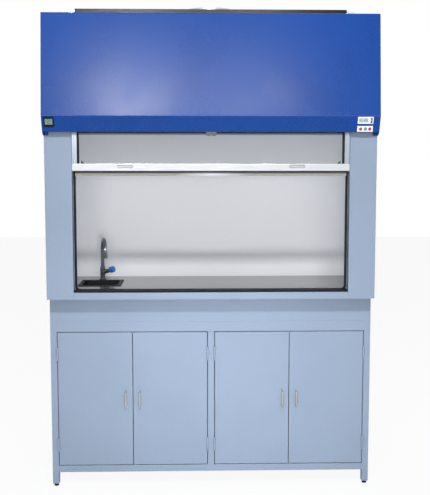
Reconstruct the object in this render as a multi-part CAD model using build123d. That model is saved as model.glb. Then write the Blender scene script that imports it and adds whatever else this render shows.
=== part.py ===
"""Fume hood on a cabinet base.

Millimetres, +Z up, the front faces -Y. The origin is under the middle of the hood, on the floor.
Each node is written to parts/NODE.step.
"""
from build123d import *
import os

os.makedirs("parts", exist_ok=True)

# Overall sizes
depth = 850.0              # canopy ridge to back panel
body_width = 1498.0        # posts and base
roof_z = 2180.0

# Folded sheet and fits
sheet = 1.5
tube_wall = 2.0
tube_corner = 1.5
bend = 2.5                 # outer radius of a fold in sheet
slack = 0.3                # between bodies that move past each other
running = 0.05             # radial, shaft in its bore

# Base cabinet
base_setback = 78.0        # skirt and doors behind the post faces
leg_side = 30.0
leg_end_z = 12.0
leg_chamfer_share = 0.7    # of the tube's wall
bottom_rail_z = 68.0
bottom_rail_height = 32.0
top_rail_z = 740.5
top_rail_height = 48.0
stile_width = 30.0
door_thickness = 18.0
door_gap = 3.0
door_flange = 12.0
door_rounding = 1.2
stiffener_width = 50.0
skirt_height = 116.5
skirt_flange = 20.0

# Door furniture
hinge_height = 64.0
hinge_inset = 100.0        # hinge middle from the door's top or bottom edge
barrel_radius = 5.0
pin_radius = 2.5
leaf_thickness = 2.0
leaf_width = 9.0
handle_length = 84.0
handle_rise = 28.0
handle_radius = 4.5
handle_edge = 31.0         # handle to the meeting edge of its door
handle_foot_height = 2.5
catch_width = 50.0
catch_height = 14.0
catch_depth = 15.0
catch_chamfer = 2.0

# Levelling feet
pad_radius = 11.0
pad_height = 8.0
stud_radius = 5.0
stud_reach = 34.0          # stud end above the leg's end
insert_height = 16.0

# Posts, sill and opening
ridge_out = 61.0           # canopy ridge in front of the post faces
post_width = 122.5
post_depth = 110.0
sill_height = 31.0
landing_height = 8.0       # rubber strip on the sill under the sash
landing_setback = 4.0
header_drop = 9.0          # header edge under the canopy's band
header_flange = 22.0
seal_width = 10.0
seal_depth = 6.0
seal_corner = 15.0

# Chamber
worktop_rise = 25.0        # worktop above the underside of the posts
liner_gap = 20.5           # side panel to side liner
liner_thickness = 5.0
duct_depth = 94.0          # back panel to rear liner
ceiling_drop = 80.0        # ceiling under the roof
baffle_standoff = 53.0     # baffle plate to rear liner
baffle_top_gap = 150.0     # slot between the baffle and the ceiling
spacer_radius = 9.0
spacer_inset = 60.0
exhaust_offset = 5.5       # behind the middle of the roof
collar_radius = 125.0
collar_height = 80.0
collar_neck = 3.0          # step in from the collar to its neck under the roof
collar_flange = 25.0
flange_thickness = 2.0
lamp_length = 640.0
lamp_width = 90.0
lamp_height = 30.0
lamp_depth = 150.0
lamp_wall = 6.0
lamp_top = 4.0
lamp_lip = 14.0
diffuser_height = 12.0
diffuser_seat = 4.0

# Sash
sash_front = 2.0           # bar face behind the post faces
stile_front = 10.0
stile_depth = 36.0
bar_z = 1487.5
bar_height = 34.0
bar_wall = 2.5
bar_rounding = 3.0
stile_side = 36.0
stile_engage = 13.5        # stile inside the guide, past the post's inner face
stile_rise = 16.0          # stile end above the roof
top_rail_rise = 23.0       # top rail above the roof
sash_rail_height = 35.0
glass_front = 20.0
glass_thickness = 5.0
gasket_width = 9.0
gasket_bite = 5.0
gasket_cover = 3.0
gasket_corner = 4.0
lip_height = 21.5
lip_front = 22.0
lip_thickness = 6.0
lip_play = 2.0
bar_play = 1.0
pull_length = 72.0
pull_height = 15.0
pull_depth = 14.0
pull_wall = 2.2
pull_proud = 0.8
pull_fit = 0.1
pull_inset = 238.5         # post's inner face to the pull's middle
pull_level = 0.62          # of the bar's height

# Sash balance
guide_side = 36.0
guide_play = 4.0           # stile to the guide's outer face, front and rear
guide_drop = 100.0         # guide end under the roof
guide_lip = 1.0            # post's slot in front of the guide's edge
cable_inset = 25.5         # post's inner face to the cable
cable_radius = 1.5
pulley_radius = 28.0       # centre line of the cable
pulley_width = 12.0
pulley_flange = 5.0
pulley_edge = 1.5
groove_play = 0.2
lightening_holes = 5
lightening_radius = 4.0
lightening_circle = 16.0
pulley_drop = 60.0         # pulley's axle under the roof
axle_radius = 5.0
axle_end = 3.0
bracket_plate = 3.0
bracket_width = 22.0
weight_width = 56.0
weight_depth = 44.0
weight_height = 400.0
weight_drop = 560.0        # weight's top under the axle
weight_chamfer = 4.0
lug_height = 20.0
lug_width = 12.0
lug_drop = 6.0             # lug's top under the bar's top

# Canopy and controls
canopy_side = 1.0          # canopy proud of the posts at each side
canopy_rise = 3.0          # canopy's top above the roof
canopy_top_out = 17.0
canopy_bend = 5.0
canopy_return = 18.0
ridge_z = 1731.0
band_drop = 70.0           # lower edge of the band under the ridge
band_bottom_out = 34.0
cheek_drop = 15.0          # cheek under the band
cheek_toe = 12.0
cheek_flange = 22.0
meter_side = 45.0
meter_inset = 33.0         # canopy's end to the meter's middle
meter_v = 8.0
meter_bezel = 4.0
meter_rounding = 1.5
meter_body = 26.0
meter_window_width = 33.0
meter_window_height = 27.0
meter_window_v = 2.0
meter_window_depth = 2.5
plate_inset = 66.0         # canopy's end to the plates' middle
plate_width = 70.0
display_height = 32.0
display_v = 17.5
control_height = 27.0
control_v = -22.0
plate_front = 1.2
housing_depth = 14.0
housing_inset = 3.0
button_radius = 6.5
button_out = 3.0
button_depth = 11.0
button_travel = 2.0
button_chamfer = 0.8
key_width = 7.0
key_height = 10.0
key_out = 1.2
screen_width = 40.0
screen_height = 20.0
screen_depth = 0.8
screen_offset = -9.0       # from the plate's middle
key_offset = 26.5
key_spread = 13.0
button_offsets = (-19.5, 2.0, 21.5)
bumper_width = 21.0
bumper_depth = 7.0
bumper_height = 14.0
bumper_corner = 5.0
bumper_spread = 24.0
bumper_plate = 2.0
bumper_margin = 0.4        # plate past the stops
bumper_bracket = 46.0

# Sink and tap
sink_margin = 182.0        # side liner to the sink's middle
sink_gap = 262.0           # baffle to the sink's middle
sink_width = 210.0
sink_length = 220.0
sink_rim = 13.0
sink_rim_height = 2.5
sink_depth = 165.0
sink_wall = 4.0
sink_corner = 26.0
sink_taper = 3.0
sink_skirt = 1.0           # bowl's wall inside the rim
sink_foot = 14.0           # outer rounding between wall and floor
waste_radius = 20.0
waste_bore = 18.0
waste_flange = 12.0
waste_flange_height = 8.0
tail_length = 65.0
trap_radius = 32.0
trap_height = 90.0
trap_foot = 10.0
drain_drop = 36.0          # outlet under the trap's top
drain_end_gap = 40.0       # outlet's end to the back panel
drain_clearance = 8.0
tap_offset = 7.0           # tap to the left of the sink's middle
tap_gap = 120.0            # baffle to the tap
tap_turn = 12.5            # degrees from straight forward, towards +X
tap_body_radius = 13.5
tap_body_height = 63.0
tap_flange_radius = 19.0
tap_flange_height = 5.0
tap_flange_edge = 1.5
tap_waist = 2.0
tap_waist_height = 14.0
tap_shoulder = 3.0
tap_socket = 18.0
shank_radius = 10.0
shank_drop = 45.0          # shank's end under the floor pan
shank_nut_radius = 17.0
shank_nut_height = 10.0
spout_radius = 9.0
spout_wall = 3.0
spout_reach = 120.0
spout_height = 220.0       # above the worktop
spout_collar = 2.0
spout_collar_height = 8.0
nozzle_end = 121.0         # above the worktop
nozzle_radius = 10.5
nozzle_height = 15.0
nozzle_bore = 12.0
nozzle_chamfer = 2.0
bonnet_rise = 36.0         # valve's axis above the worktop
bonnet_radius = 12.0
bonnet_length = 50.0
bonnet_step = 3.0
spindle_radius = 4.0
spindle_short = 6.0        # spindle's end under the knob's face
knob_radius = 16.5
knob_length = 22.0
knob_rounding = 2.5
knob_lobes = 6
knob_flute = 7.0
knob_flute_out = 4.2

# Places worked out from the sizes above
half = body_width / 2
face_y = -depth / 2 + ridge_out
back_y = depth / 2
base_y = face_y + base_setback
post_inner = half - post_width
seam_z = top_rail_z + top_rail_height
body_floor_z = seam_z + skirt_height
sill_top_z = body_floor_z + sill_height
worktop_z = body_floor_z + worktop_rise
ceiling_z = roof_z - ceiling_drop
collar_top_z = roof_z + collar_height
door_bottom_z = bottom_rail_z + bottom_rail_height
canopy_half = half + canopy_side
leg_inner = half - leg_side
rear_leg_y = back_y - leg_side
bay_width = leg_inner - stile_width / 2
door_width = (bay_width - 3 * door_gap) / 2
door_height = top_rail_z - door_bottom_z - 2 * door_gap
handle_z = door_bottom_z + door_gap + door_height / 2
guide_front = stile_front - guide_play
guide_depth = stile_depth + 2 * guide_play
sill_depth = guide_front + guide_depth
stile_x = post_inner + stile_engage - stile_side
stile_top_z = roof_z + stile_rise
top_rail_top_z = roof_z + top_rail_rise
guide_top_z = roof_z - guide_drop
cable_x = post_inner + cable_inset
pulley_z = roof_z - pulley_drop
weight_top_z = pulley_z - weight_drop
canopy_top_z = roof_z + canopy_rise
band_bottom_z = ridge_z - band_drop
cheek_bottom_z = band_bottom_z - cheek_drop
header_z = band_bottom_z - header_drop
meter_x = -canopy_half + meter_inset
plate_x = canopy_half - plate_inset
screen_x = plate_x + screen_offset
pull_x = post_inner - pull_inset
pull_z = bar_z + bar_height * pull_level
liner_x = half - sheet - liner_gap - liner_thickness
liner_rear = depth - ridge_out - duct_depth - liner_thickness
baffle_depth = liner_rear - baffle_standoff - liner_thickness
baffle_edge = liner_x - slack
baffle_top_z = ceiling_z - baffle_top_gap
exhaust_depth = (depth - ridge_out) / 2 + exhaust_offset
neck_radius = collar_radius - collar_neck
neck_bore = neck_radius - sheet
sink_x = -liner_x + sink_margin
sink_depth_y = baffle_depth - sink_gap
trap_top_z = worktop_z - sink_depth - tail_length
drain_z = trap_top_z - drain_drop
drain_end_y = back_y - drain_end_gap
tap_x = sink_x - tap_offset
tap_y = face_y + baffle_depth - tap_gap
tap_body_top_z = worktop_z + tap_body_height
spout_top_z = worktop_z + spout_height
nozzle_end_z = worktop_z + nozzle_end
bonnet_z = worktop_z + bonnet_rise


def back_of_face(distance):
    """The Y of a plane this far behind the post faces."""
    return face_y + distance


def block(x0, x1, y0, y1, z0, z1):
    """A box between two corners."""
    middle = ((x0 + x1) / 2, (y0 + y1) / 2, (z0 + z1) / 2)
    return Pos(*middle) * Box(abs(x1 - x0), abs(y1 - y0), abs(z1 - z0))


def folded_section(points, thickness, outer_bend):
    """Section of a folded sheet: points on its middle line, and the outer radius of its folds."""
    return trace(FilletPolyline(*points, radius=outer_bend - thickness / 2), thickness)


def fold_along_x(points, x0, x1, thickness, outer_bend=bend):
    """A sheet folded along lines parallel to X: (y, z) points on its middle line."""
    return extrude(Plane.YZ.offset(x0) * folded_section(points, thickness, outer_bend), x1 - x0)


def fold_along_z(points, z0, z1, thickness, outer_bend=bend):
    """A sheet folded along upright lines: (x, y) points on its middle line."""
    return extrude(Plane.XY.offset(z0) * folded_section(points, thickness, outer_bend), z1 - z0)


def plan_prism(points, z0, z1):
    """An upright prism over a closed (x, y) outline."""
    return extrude(Plane.XY.offset(z0) * make_face(Polyline(*points, close=True)), z1 - z0)


def square_tube(x0, x1, y0, y1, z0, z1, along):
    """A square tube with rounded corners, open at both ends along the named axis."""
    w = tube_wall
    inner, axis = {
        "x": ((x0, x1, y0 + w, y1 - w, z0 + w, z1 - w), Axis.X),
        "y": ((x0 + w, x1 - w, y0, y1, z0 + w, z1 - w), Axis.Y),
        "z": ((x0 + w, x1 - w, y0 + w, y1 - w, z0, z1), Axis.Z),
    }[along]
    outer = block(x0, x1, y0, y1, z0, z1)
    return fillet(outer.edges().filter_by(axis), tube_corner) - block(*inner)


def mirrored(piece):
    """The same piece at the other side of the hood."""
    return mirror(piece, Plane.YZ)


def both_sides(piece):
    return [piece, mirrored(piece)]


def rod(radius, start, end):
    """A round bar from one point to another."""
    path = Vector(*end) - Vector(*start)
    plane = Plane(origin=start, z_dir=path)
    return extrude(plane * Circle(radius), path.length)


def slot_prism(length, height, x, z, y0, y1):
    """A prism along Y with a long hole's outline."""
    plane = Plane.XZ.offset(-y1)
    return extrude(plane * Pos(x, z) * SlotOverall(length, height), y1 - y0)


# Base frame: square tubes, with a threaded insert in each leg's end
def leg(x0, y0):
    post = square_tube(x0, x0 + leg_side, y0, y0 + leg_side, leg_end_z, seam_z, "z")
    low_face = post.faces().sort_by(Axis.Z)[0]
    return chamfer(low_face.outer_wire().edges(), tube_wall * leg_chamfer_share)


def leg_insert(x0, y0):
    w = tube_wall
    plug = block(x0 + w, x0 + leg_side - w, y0 + w, y0 + leg_side - w, leg_end_z, leg_end_z + insert_height)
    middle = (x0 + leg_side / 2, y0 + leg_side / 2)
    return plug - Pos(*middle, leg_end_z + insert_height / 2) * Cylinder(stud_radius + running, insert_height)


def leg_corners():
    """Lower left corner of each leg in plan, with its name."""
    return {
        "front_left": (-half, base_y),
        "front_right": (leg_inner, base_y),
        "rear_left": (-half, rear_leg_y),
        "rear_right": (leg_inner, rear_leg_y),
    }


def base_frame():
    pieces = []
    for x0, y0 in leg_corners().values():
        pieces += [leg(x0, y0), leg_insert(x0, y0)]
    for low, high in ((bottom_rail_z, door_bottom_z), (top_rail_z, seam_z)):
        for y0 in (base_y, rear_leg_y):
            pieces.append(square_tube(-leg_inner, leg_inner, y0, y0 + leg_side, low, high, "x"))
        side = square_tube(leg_inner, half, base_y + leg_side, rear_leg_y, low, high, "y")
        pieces += both_sides(side)
    reach = stile_width / 2
    pieces.append(square_tube(-reach, reach, base_y, base_y + leg_side, door_bottom_z, top_rail_z, "z"))
    return pieces


# Base panels: two sides, back with a hole for the waste pipe, floor and partition
def base_panels():
    inner_front = base_y + leg_side
    side = block(half - sheet, half, inner_front, rear_leg_y, door_bottom_z, top_rail_z)
    back = block(-leg_inner, leg_inner, back_y - 2 * sheet, back_y - sheet, door_bottom_z, top_rail_z)
    hole_radius = waste_radius + drain_clearance
    drain_hole = rod(hole_radius, (sink_x, drain_end_y, drain_z), (sink_x, back_y, drain_z))
    floor = block(-leg_inner, leg_inner, inner_front, rear_leg_y, door_bottom_z - sheet, door_bottom_z)
    partition = block(-sheet / 2, sheet / 2, inner_front, rear_leg_y, door_bottom_z, top_rail_z)
    return both_sides(side) + [back - drain_hole, floor, partition]


# Skirt: folded sheet round three sides, with flanges that carry the floor pan
def skirt():
    def ring(inset, corner, z0, z1):
        solid = block(-half + inset, half - inset, base_y + inset, back_y - inset, z0, z1)
        return fillet(solid.edges().filter_by(Axis.Z), corner)
    wall = ring(0, bend, seam_z, body_floor_z)
    wall -= ring(sheet, bend - sheet, seam_z + sheet, body_floor_z - sheet)
    return wall - ring(sheet + skirt_flange, bend, seam_z, body_floor_z)


# Doors: folded pans with a stiffening channel, hinged on their outer edges
def door_edges():
    """Name, side of the hinge (-1 left, 1 right), and left and right edge of each door."""
    rows = []
    for bay, start in (("left", -leg_inner), ("right", stile_width / 2)):
        first = start + door_gap
        second = first + door_width + door_gap
        rows.append((f"{bay}_bay_left", -1, first, first + door_width))
        rows.append((f"{bay}_bay_right", 1, second, second + door_width))
    return rows


def hinge_axis(side, x0, x1):
    """Plan position of a door's hinge pin."""
    edge = x0 if side < 0 else x1
    return edge + side * door_gap / 2, base_y - barrel_radius - slack


def hinge_heights():
    low = door_bottom_z + door_gap + hinge_inset
    high = top_rail_z - door_gap - hinge_inset
    return low, high


def knuckle(x, y, z0, z1, leaf_side):
    """A hinge knuckle with its leaf, on the side of the pin that leaf_side names."""
    leaf_y = y + barrel_radius + slack
    barrel = Pos(x, y, (z0 + z1) / 2) * Cylinder(barrel_radius, z1 - z0)
    web_end = x + leaf_side * (door_gap / 2 + leaf_width)
    leaf = block(min(x, web_end), max(x, web_end), leaf_y - leaf_thickness, leaf_y, z0, z1)
    bore = Pos(x, y, (z0 + z1) / 2) * Cylinder(pin_radius + running, z1 - z0)
    return barrel + leaf - bore


def hinge_leaves():
    """The fixed knuckles, above and below each door knuckle, and the pins through them."""
    pieces = []
    third = hinge_height / 3
    for _, side, x0, x1 in door_edges():
        x, y = hinge_axis(side, x0, x1)
        for z in hinge_heights():
            for low in (z - hinge_height / 2, z + third / 2):
                pieces.append(knuckle(x, y, low, low + third, side))
            pieces.append(rod(pin_radius, (x, y, z - hinge_height / 2), (x, y, z + hinge_height / 2)))
    return pieces


def door(side, x0, x1):
    low = door_bottom_z + door_gap
    high = low + door_height
    pan = block(x0, x1, base_y, base_y + door_thickness, low, high)
    pan = fillet(pan.faces().sort_by(Axis.Y)[0].edges(), door_rounding)
    inner = block(
        x0 + sheet, x1 - sheet, base_y + sheet, base_y + door_thickness - sheet, low + sheet, high - sheet,
    )
    mouth = block(
        x0 + door_flange, x1 - door_flange, base_y + sheet, base_y + door_thickness,
        low + door_flange, high - door_flange,
    )
    left, right = (x0 + x1 - stiffener_width) / 2, (x0 + x1 + stiffener_width) / 2
    front, rear = base_y + sheet, base_y + door_thickness - sheet
    channel = block(left, right, front, rear, low + sheet, high - sheet)
    channel -= block(left + sheet, right - sheet, front, rear - sheet, low, high)
    pan = pan - inner - mouth + channel
    x, y = hinge_axis(side, x0, x1)
    third = hinge_height / 3
    leaves = [knuckle(x, y, z - third / 2 + slack, z + third / 2 - slack, -side) for z in hinge_heights()]
    return [pan] + leaves


def handle(side, x0, x1):
    """A bow handle near the door's meeting edge, with a round foot at each end."""
    x = (x1 - handle_edge) if side < 0 else (x0 + handle_edge)
    reach = handle_length / 2 - handle_radius
    crown = base_y - handle_rise
    path = FilletPolyline(
        (x, base_y, handle_z - reach), (x, crown, handle_z - reach),
        (x, crown, handle_z + reach), (x, base_y, handle_z + reach), radius=handle_rise * 0.55,
    )
    bow = sweep(Plane(origin=path @ 0, z_dir=path % 0) * Circle(handle_radius), path)
    foot_radius = handle_radius * 1.5
    for z in (handle_z - reach, handle_z + reach):
        bow += rod(foot_radius, (x, base_y, z), (x, base_y - handle_foot_height, z))
    return bow


def door_catches():
    """A magnetic catch under the top rail at each pair's meeting edges."""
    y0 = base_y + door_thickness + slack
    pieces = []
    for bay_middle in (-(leg_inner + stile_width / 2) / 2, (leg_inner + stile_width / 2) / 2):
        x0, x1 = bay_middle - catch_width / 2, bay_middle + catch_width / 2
        case = block(x0, x1, y0, y0 + catch_depth, top_rail_z - catch_height, top_rail_z)
        pieces.append(chamfer(case.edges().filter_by(Axis.X).group_by(Axis.Z)[0], catch_chamfer))
    return pieces


def foot(x0, y0):
    """Levelling foot: moulded pad, jam nut and stud."""
    x, y = x0 + leg_side / 2, y0 + leg_side / 2
    pad = Pos(x, y, pad_height / 2) * Cylinder(pad_radius, pad_height)
    pad = chamfer(pad.edges().group_by(Axis.Z)[-1], 2)
    pad = fillet(pad.edges().group_by(Axis.Z)[0], 1)
    nut_height = leg_end_z - pad_height - slack
    nut = extrude(Plane.XY.offset(pad_height) * Pos(x, y) * RegularPolygon(stud_radius * 1.7, 6), nut_height)
    stud = rod(stud_radius, (x, y, pad_height / 2), (x, y, leg_end_z + stud_reach))
    return pad + nut + stud


# Upper body
def post():
    """Right post: a folded column with the sash slot in its inner wall."""
    t = sheet / 2
    line = [
        (post_inner + t, back_of_face(guide_front + guide_lip)),
        (post_inner + t, face_y + t),
        (half - t, face_y + t),
        (half - t, back_of_face(post_depth) - t),
        (post_inner + t, back_of_face(post_depth) - t),
        (post_inner + t, back_of_face(guide_front + guide_depth - tube_wall)),
    ]
    return fold_along_z(line, body_floor_z, roof_z - sheet, sheet)


def sill():
    t = sheet / 2
    line = [
        (back_of_face(sheet + skirt_flange), body_floor_z + sheet + t),
        (face_y + t, body_floor_z + sheet + t),
        (face_y + t, sill_top_z - t),
        (back_of_face(sill_depth) - t, sill_top_z - t),
        (back_of_face(sill_depth) - t, body_floor_z + sheet),
    ]
    folded = fold_along_x(line, -post_inner, post_inner, sheet)
    tab_top = body_floor_z + sheet + bend
    return folded + block(-post_inner, post_inner, face_y, face_y + sheet, body_floor_z, tab_top)


def floor_pan():
    outline = tee_plan(half - sheet, face_y + sheet, back_y - sheet)
    low, high = body_floor_z, body_floor_z + sheet
    return plan_prism(outline, low, high) - sink_cutter(low, high) - tap_hole(low, high)


def inner_header():
    t = sheet
    y = back_of_face(sill_depth)
    low = header_z + t / 2
    line = [(y + header_flange, low), (y + t / 2, low), (y + t / 2, ceiling_z + liner_thickness)]
    return fold_along_x(line, -post_inner, post_inner, t)


def outer_panels():
    side = block(half - sheet, half, back_of_face(post_depth), back_y, body_floor_z, roof_z - sheet)
    back = block(-half + sheet, half - sheet, back_y - sheet, back_y, body_floor_z, roof_z - sheet)
    return both_sides(side) + [back]


def roof():
    plate = block(-half, half, face_y, back_y, roof_z - sheet, roof_z)
    plate -= block(-cable_x, cable_x, face_y - 1, back_of_face(sill_depth), roof_z - sheet, roof_z)
    return plate - exhaust_bore(neck_radius + slack, roof_z - sheet, roof_z)


def exhaust_bore(radius, z0, z1):
    return Pos(0, back_of_face(exhaust_depth), (z0 + z1) / 2) * Cylinder(radius, z1 - z0)


def tee_plan(half_width, front, rear):
    """Plan of a plate with full width behind the posts, and a tongue between them."""
    shoulder = back_of_face(post_depth)
    return [
        (-post_inner, front), (post_inner, front), (post_inner, shoulder), (half_width, shoulder),
        (half_width, rear), (-half_width, rear), (-half_width, shoulder), (-post_inner, shoulder),
    ]


def liner_panels():
    base = body_floor_z + sheet
    rear = back_of_face(liner_rear)
    side = block(liner_x, liner_x + liner_thickness, back_of_face(post_depth), rear, base, ceiling_z)
    wall = block(
        -liner_x - liner_thickness, liner_x + liner_thickness, rear, rear + liner_thickness, base,
        ceiling_z + liner_thickness,
    )
    return both_sides(side) + [wall]


def ceiling():
    top = ceiling_z + liner_thickness
    outline = tee_plan(liner_x + liner_thickness, back_of_face(sill_depth) + sheet, back_of_face(liner_rear))
    return plan_prism(outline, ceiling_z, top) - exhaust_bore(neck_bore, ceiling_z, top)


def baffle_plates():
    """A plate in front of the rear liner, on spacers, with the extract slot above it."""
    y0 = back_of_face(baffle_depth)
    y1 = y0 + liner_thickness
    pieces = [block(-baffle_edge, baffle_edge, y0, y1, worktop_z, baffle_top_z)]
    for x in (-baffle_edge + spacer_inset, 0, baffle_edge - spacer_inset):
        for z in (worktop_z + spacer_inset, baffle_top_z - spacer_inset):
            pieces.append(rod(spacer_radius, (x, y1, z), (x, back_of_face(liner_rear), z)))
    return pieces


def sink_cutter(z0, z1):
    """The hole for the sink bowl, inside its rim."""
    return block(*sink_span(sink_rim), z0, z1)


def sink_span(inset):
    """X and Y limits of the sink, this far inside the outer edge of its rim."""
    y = back_of_face(sink_depth_y)
    return (
        sink_x - sink_width / 2 + inset, sink_x + sink_width / 2 - inset,
        y - sink_length / 2 + inset, y + sink_length / 2 - inset,
    )


def tap_hole(z0, z1):
    return Pos(tap_x, tap_y, (z0 + z1) / 2) * Cylinder(shank_radius + slack, z1 - z0)


def worktop():
    front = back_of_face(sill_depth)
    slab = plan_prism(tee_plan(liner_x, front, back_of_face(liner_rear)), body_floor_z + sheet, worktop_z)
    return slab - sink_cutter(body_floor_z, worktop_z) - tap_hole(body_floor_z, worktop_z)


def opening_seal():
    """Black bead down both jambs with rounded lower corners, and the landing strip on the sill."""
    landing_z = sill_top_z + landing_height

    def outline(inset, corner):
        low = landing_z - landing_height + inset
        shape = Pos(0, (low + header_z) / 2) * Rectangle(2 * (post_inner - inset), header_z - low)
        return fillet(shape.vertices().group_by(Axis.Y)[0], corner)
    ring = outline(0, seal_corner + seal_width) - outline(seal_width, seal_corner)
    y0 = back_of_face(sill_depth)
    bead = extrude(Plane.XZ.offset(-y0 - seal_depth) * ring, seal_depth)
    front = back_of_face(landing_setback)
    return bead + block(-post_inner, post_inner, front, y0, sill_top_z, landing_z)


def sash_guide():
    """Right guide: an aluminium channel behind the post's slot."""
    x0 = post_inner + sheet
    t = tube_wall / 2
    y0, y1 = back_of_face(guide_front), back_of_face(guide_front + guide_depth)
    line = [(x0, y0 + t), (x0 + guide_side - t, y0 + t), (x0 + guide_side - t, y1 - t), (x0, y1 - t)]
    return fold_along_z(line, body_floor_z + sheet, guide_top_z, tube_wall)


# Sash
def sash_bar():
    front, rear = back_of_face(sash_front), back_of_face(stile_front + stile_depth)
    low, high = bar_z, bar_z + bar_height
    reach = post_inner - bar_play
    bar = block(-reach, reach, front, rear, low, high)
    bar = fillet(bar.edges().filter_by(Axis.X).group_by(Axis.Y)[0], bar_rounding)
    ends = block(-stile_x - stile_side, stile_x + stile_side, back_of_face(stile_front), rear, low, high)
    bar += ends
    w = bar_wall
    bar -= block(-reach + w, reach - w, front + w, rear - w, low + w, high - w)
    for x in (-pull_x, pull_x):
        bar -= slot_prism(pull_length, pull_height, x, pull_z, front - 1, front + pull_depth)
    y0, y1 = cable_y() - lug_width / 2, cable_y() + lug_width / 2
    lug = block(stile_x + stile_side, cable_x + lug_width / 2, y0, y1, lug_top_z() - lug_height, lug_top_z())
    return bar + lug + mirrored(lug)


def cable_y():
    return back_of_face(guide_front + guide_depth / 2)


def lug_top_z():
    return bar_z + bar_height - lug_drop


def finger_pulls():
    front = back_of_face(sash_front)
    rear = front + pull_depth - pull_fit
    outer = (pull_length - 2 * pull_fit, pull_height - 2 * pull_fit)
    inner = (pull_length - 2 * pull_wall, pull_height - 2 * pull_wall)
    pieces = []
    for x in (-pull_x, pull_x):
        cup = slot_prism(*outer, x, pull_z, front - pull_proud, rear)
        pieces.append(cup - slot_prism(*inner, x, pull_z, front - pull_proud, rear - pull_wall))
    return pieces


def sash_stile():
    """Right stile, standing on the end of the bar."""
    y0 = back_of_face(stile_front)
    low = bar_z + bar_height
    return square_tube(stile_x, stile_x + stile_side, y0, y0 + stile_depth, low, stile_top_z, "z")


def sash_top_rail():
    y0 = back_of_face(stile_front)
    low = top_rail_top_z - sash_rail_height
    return square_tube(-stile_x, stile_x, y0, y0 + stile_depth, low, top_rail_top_z, "x")


def glass_limits(inset):
    """X half width, lower and upper Z of the glazing opening, moved inwards by inset."""
    return stile_x - inset, bar_z + bar_height + inset, top_rail_top_z - sash_rail_height - inset


def sash_glass():
    """The pane, held in the gasket at its sides and top, and standing on the bar."""
    x, low, high = glass_limits(0)
    inset = gasket_width - gasket_bite
    y0 = back_of_face(glass_front)
    return block(-x + inset, x - inset, y0, y0 + glass_thickness, low, high - inset)


def sash_seals():
    """Glazing gasket at the pane's sides and top, and the lip seal under the bar."""
    x, low, high = glass_limits(0)
    y0 = back_of_face(glass_front - gasket_cover)
    y1 = back_of_face(glass_front + glass_thickness + gasket_cover)
    hole = block(-x + gasket_width, x - gasket_width, y0, y1, low, high - gasket_width)
    hole = fillet(hole.edges().filter_by(Axis.Y).group_by(Axis.Z)[-1], gasket_corner)
    frame = block(-x, x, y0, y1, low, high) - hole - sash_glass()
    lip_y = back_of_face(lip_front)
    reach = post_inner - seal_width - lip_play
    lip = block(-reach, reach, lip_y, lip_y + lip_thickness, bar_z - lip_height, bar_z)
    lip = fillet(lip.edges().filter_by(Axis.X).group_by(Axis.Z)[0], lip_thickness * 0.45)
    return [frame, lip]


# Sash balance: pulley, bracket, weight and cable of the right side
def pulley():
    x, y = cable_x + pulley_radius, cable_y()
    groove = pulley_radius - cable_radius - groove_play / 2
    rim = pulley_radius + pulley_flange
    bore = axle_radius + running
    w = pulley_width / 2
    g = cable_radius + groove_play
    outline = Polyline(
        (bore, -w), (rim, -w), (rim, -w + pulley_edge), (groove, -g), (groove, g), (rim, w - pulley_edge),
        (rim, w), (bore, w), close=True,
    )
    wheel = revolve(Plane.XZ * make_face(outline), Axis.Z)
    holes = PolarLocations(lightening_circle, lightening_holes) * Cylinder(lightening_radius, pulley_width)
    return Pos(x, y, pulley_z) * Rot(90, 0, 0) * (wheel - holes)


def pulley_bracket():
    """Clevis under the roof with the axle through it."""
    x, y = cable_x + pulley_radius, cable_y()
    inside = pulley_width / 2 + slack
    outside = inside + bracket_plate
    top = roof_z - sheet
    x0, x1 = x - bracket_width / 2, x + bracket_width / 2
    piece = block(x0, x1, y - outside, y + outside, top - bracket_plate, top)
    for side in (-1, 1):
        y0, y1 = sorted((y + side * inside, y + side * outside))
        piece += block(x0, x1, y0, y1, pulley_z, top)
        piece += rod(bracket_width / 2, (x, y0, pulley_z), (x, y1, pulley_z))
    reach = outside + axle_end
    return piece + rod(axle_radius, (x, y - reach, pulley_z), (x, y + reach, pulley_z))


def counterweight():
    x = cable_x + 2 * pulley_radius
    y = cable_y()
    bar = block(
        x - weight_width / 2, x + weight_width / 2, y - weight_depth / 2, y + weight_depth / 2,
        weight_top_z - weight_height, weight_top_z,
    )
    return chamfer(bar.edges().filter_by(Axis.Z), weight_chamfer)


def cable():
    """Steel cable from the sash lug over the pulley to the weight."""
    y = cable_y()
    far = cable_x + 2 * pulley_radius
    crown = (cable_x + pulley_radius, y, pulley_z + pulley_radius)
    up = Line((cable_x, y, lug_top_z()), (cable_x, y, pulley_z))
    over = ThreePointArc((cable_x, y, pulley_z), crown, (far, y, pulley_z))
    down = Line((far, y, pulley_z), (far, y, weight_top_z))
    path = Wire([up.edge(), over.edge(), down.edge()])
    return sweep(Plane.XY.offset(lug_top_z()) * Pos(cable_x, y) * Circle(cable_radius), path)


# Canopy: folded front sheet between two cheeks
def band_plane():
    """Plane on the band below the ridge: X along the hood, Y up the slope, Z outwards."""
    low = Vector(0, face_y - band_bottom_out, band_bottom_z)
    ridge = Vector(0, face_y - ridge_out, ridge_z)
    slope = (ridge - low).normalized()
    return Plane(origin=(low + ridge) / 2, x_dir=(1, 0, 0), z_dir=Vector(1, 0, 0).cross(slope))


def band_block(x, v, width, height, inside, outside):
    """A block square to the band: from inside behind its outer face to outside in front of it."""
    thickness = inside + outside
    return band_plane() * Pos(x, v, (outside - inside) / 2) * Box(width, height, thickness)


def canopy_outline():
    """Side view of the canopy's front faces: top, ridge and lower edge of the band."""
    return [
        (face_y - canopy_top_out, canopy_top_z), (face_y - ridge_out, ridge_z),
        (face_y - band_bottom_out, band_bottom_z),
    ]


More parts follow.
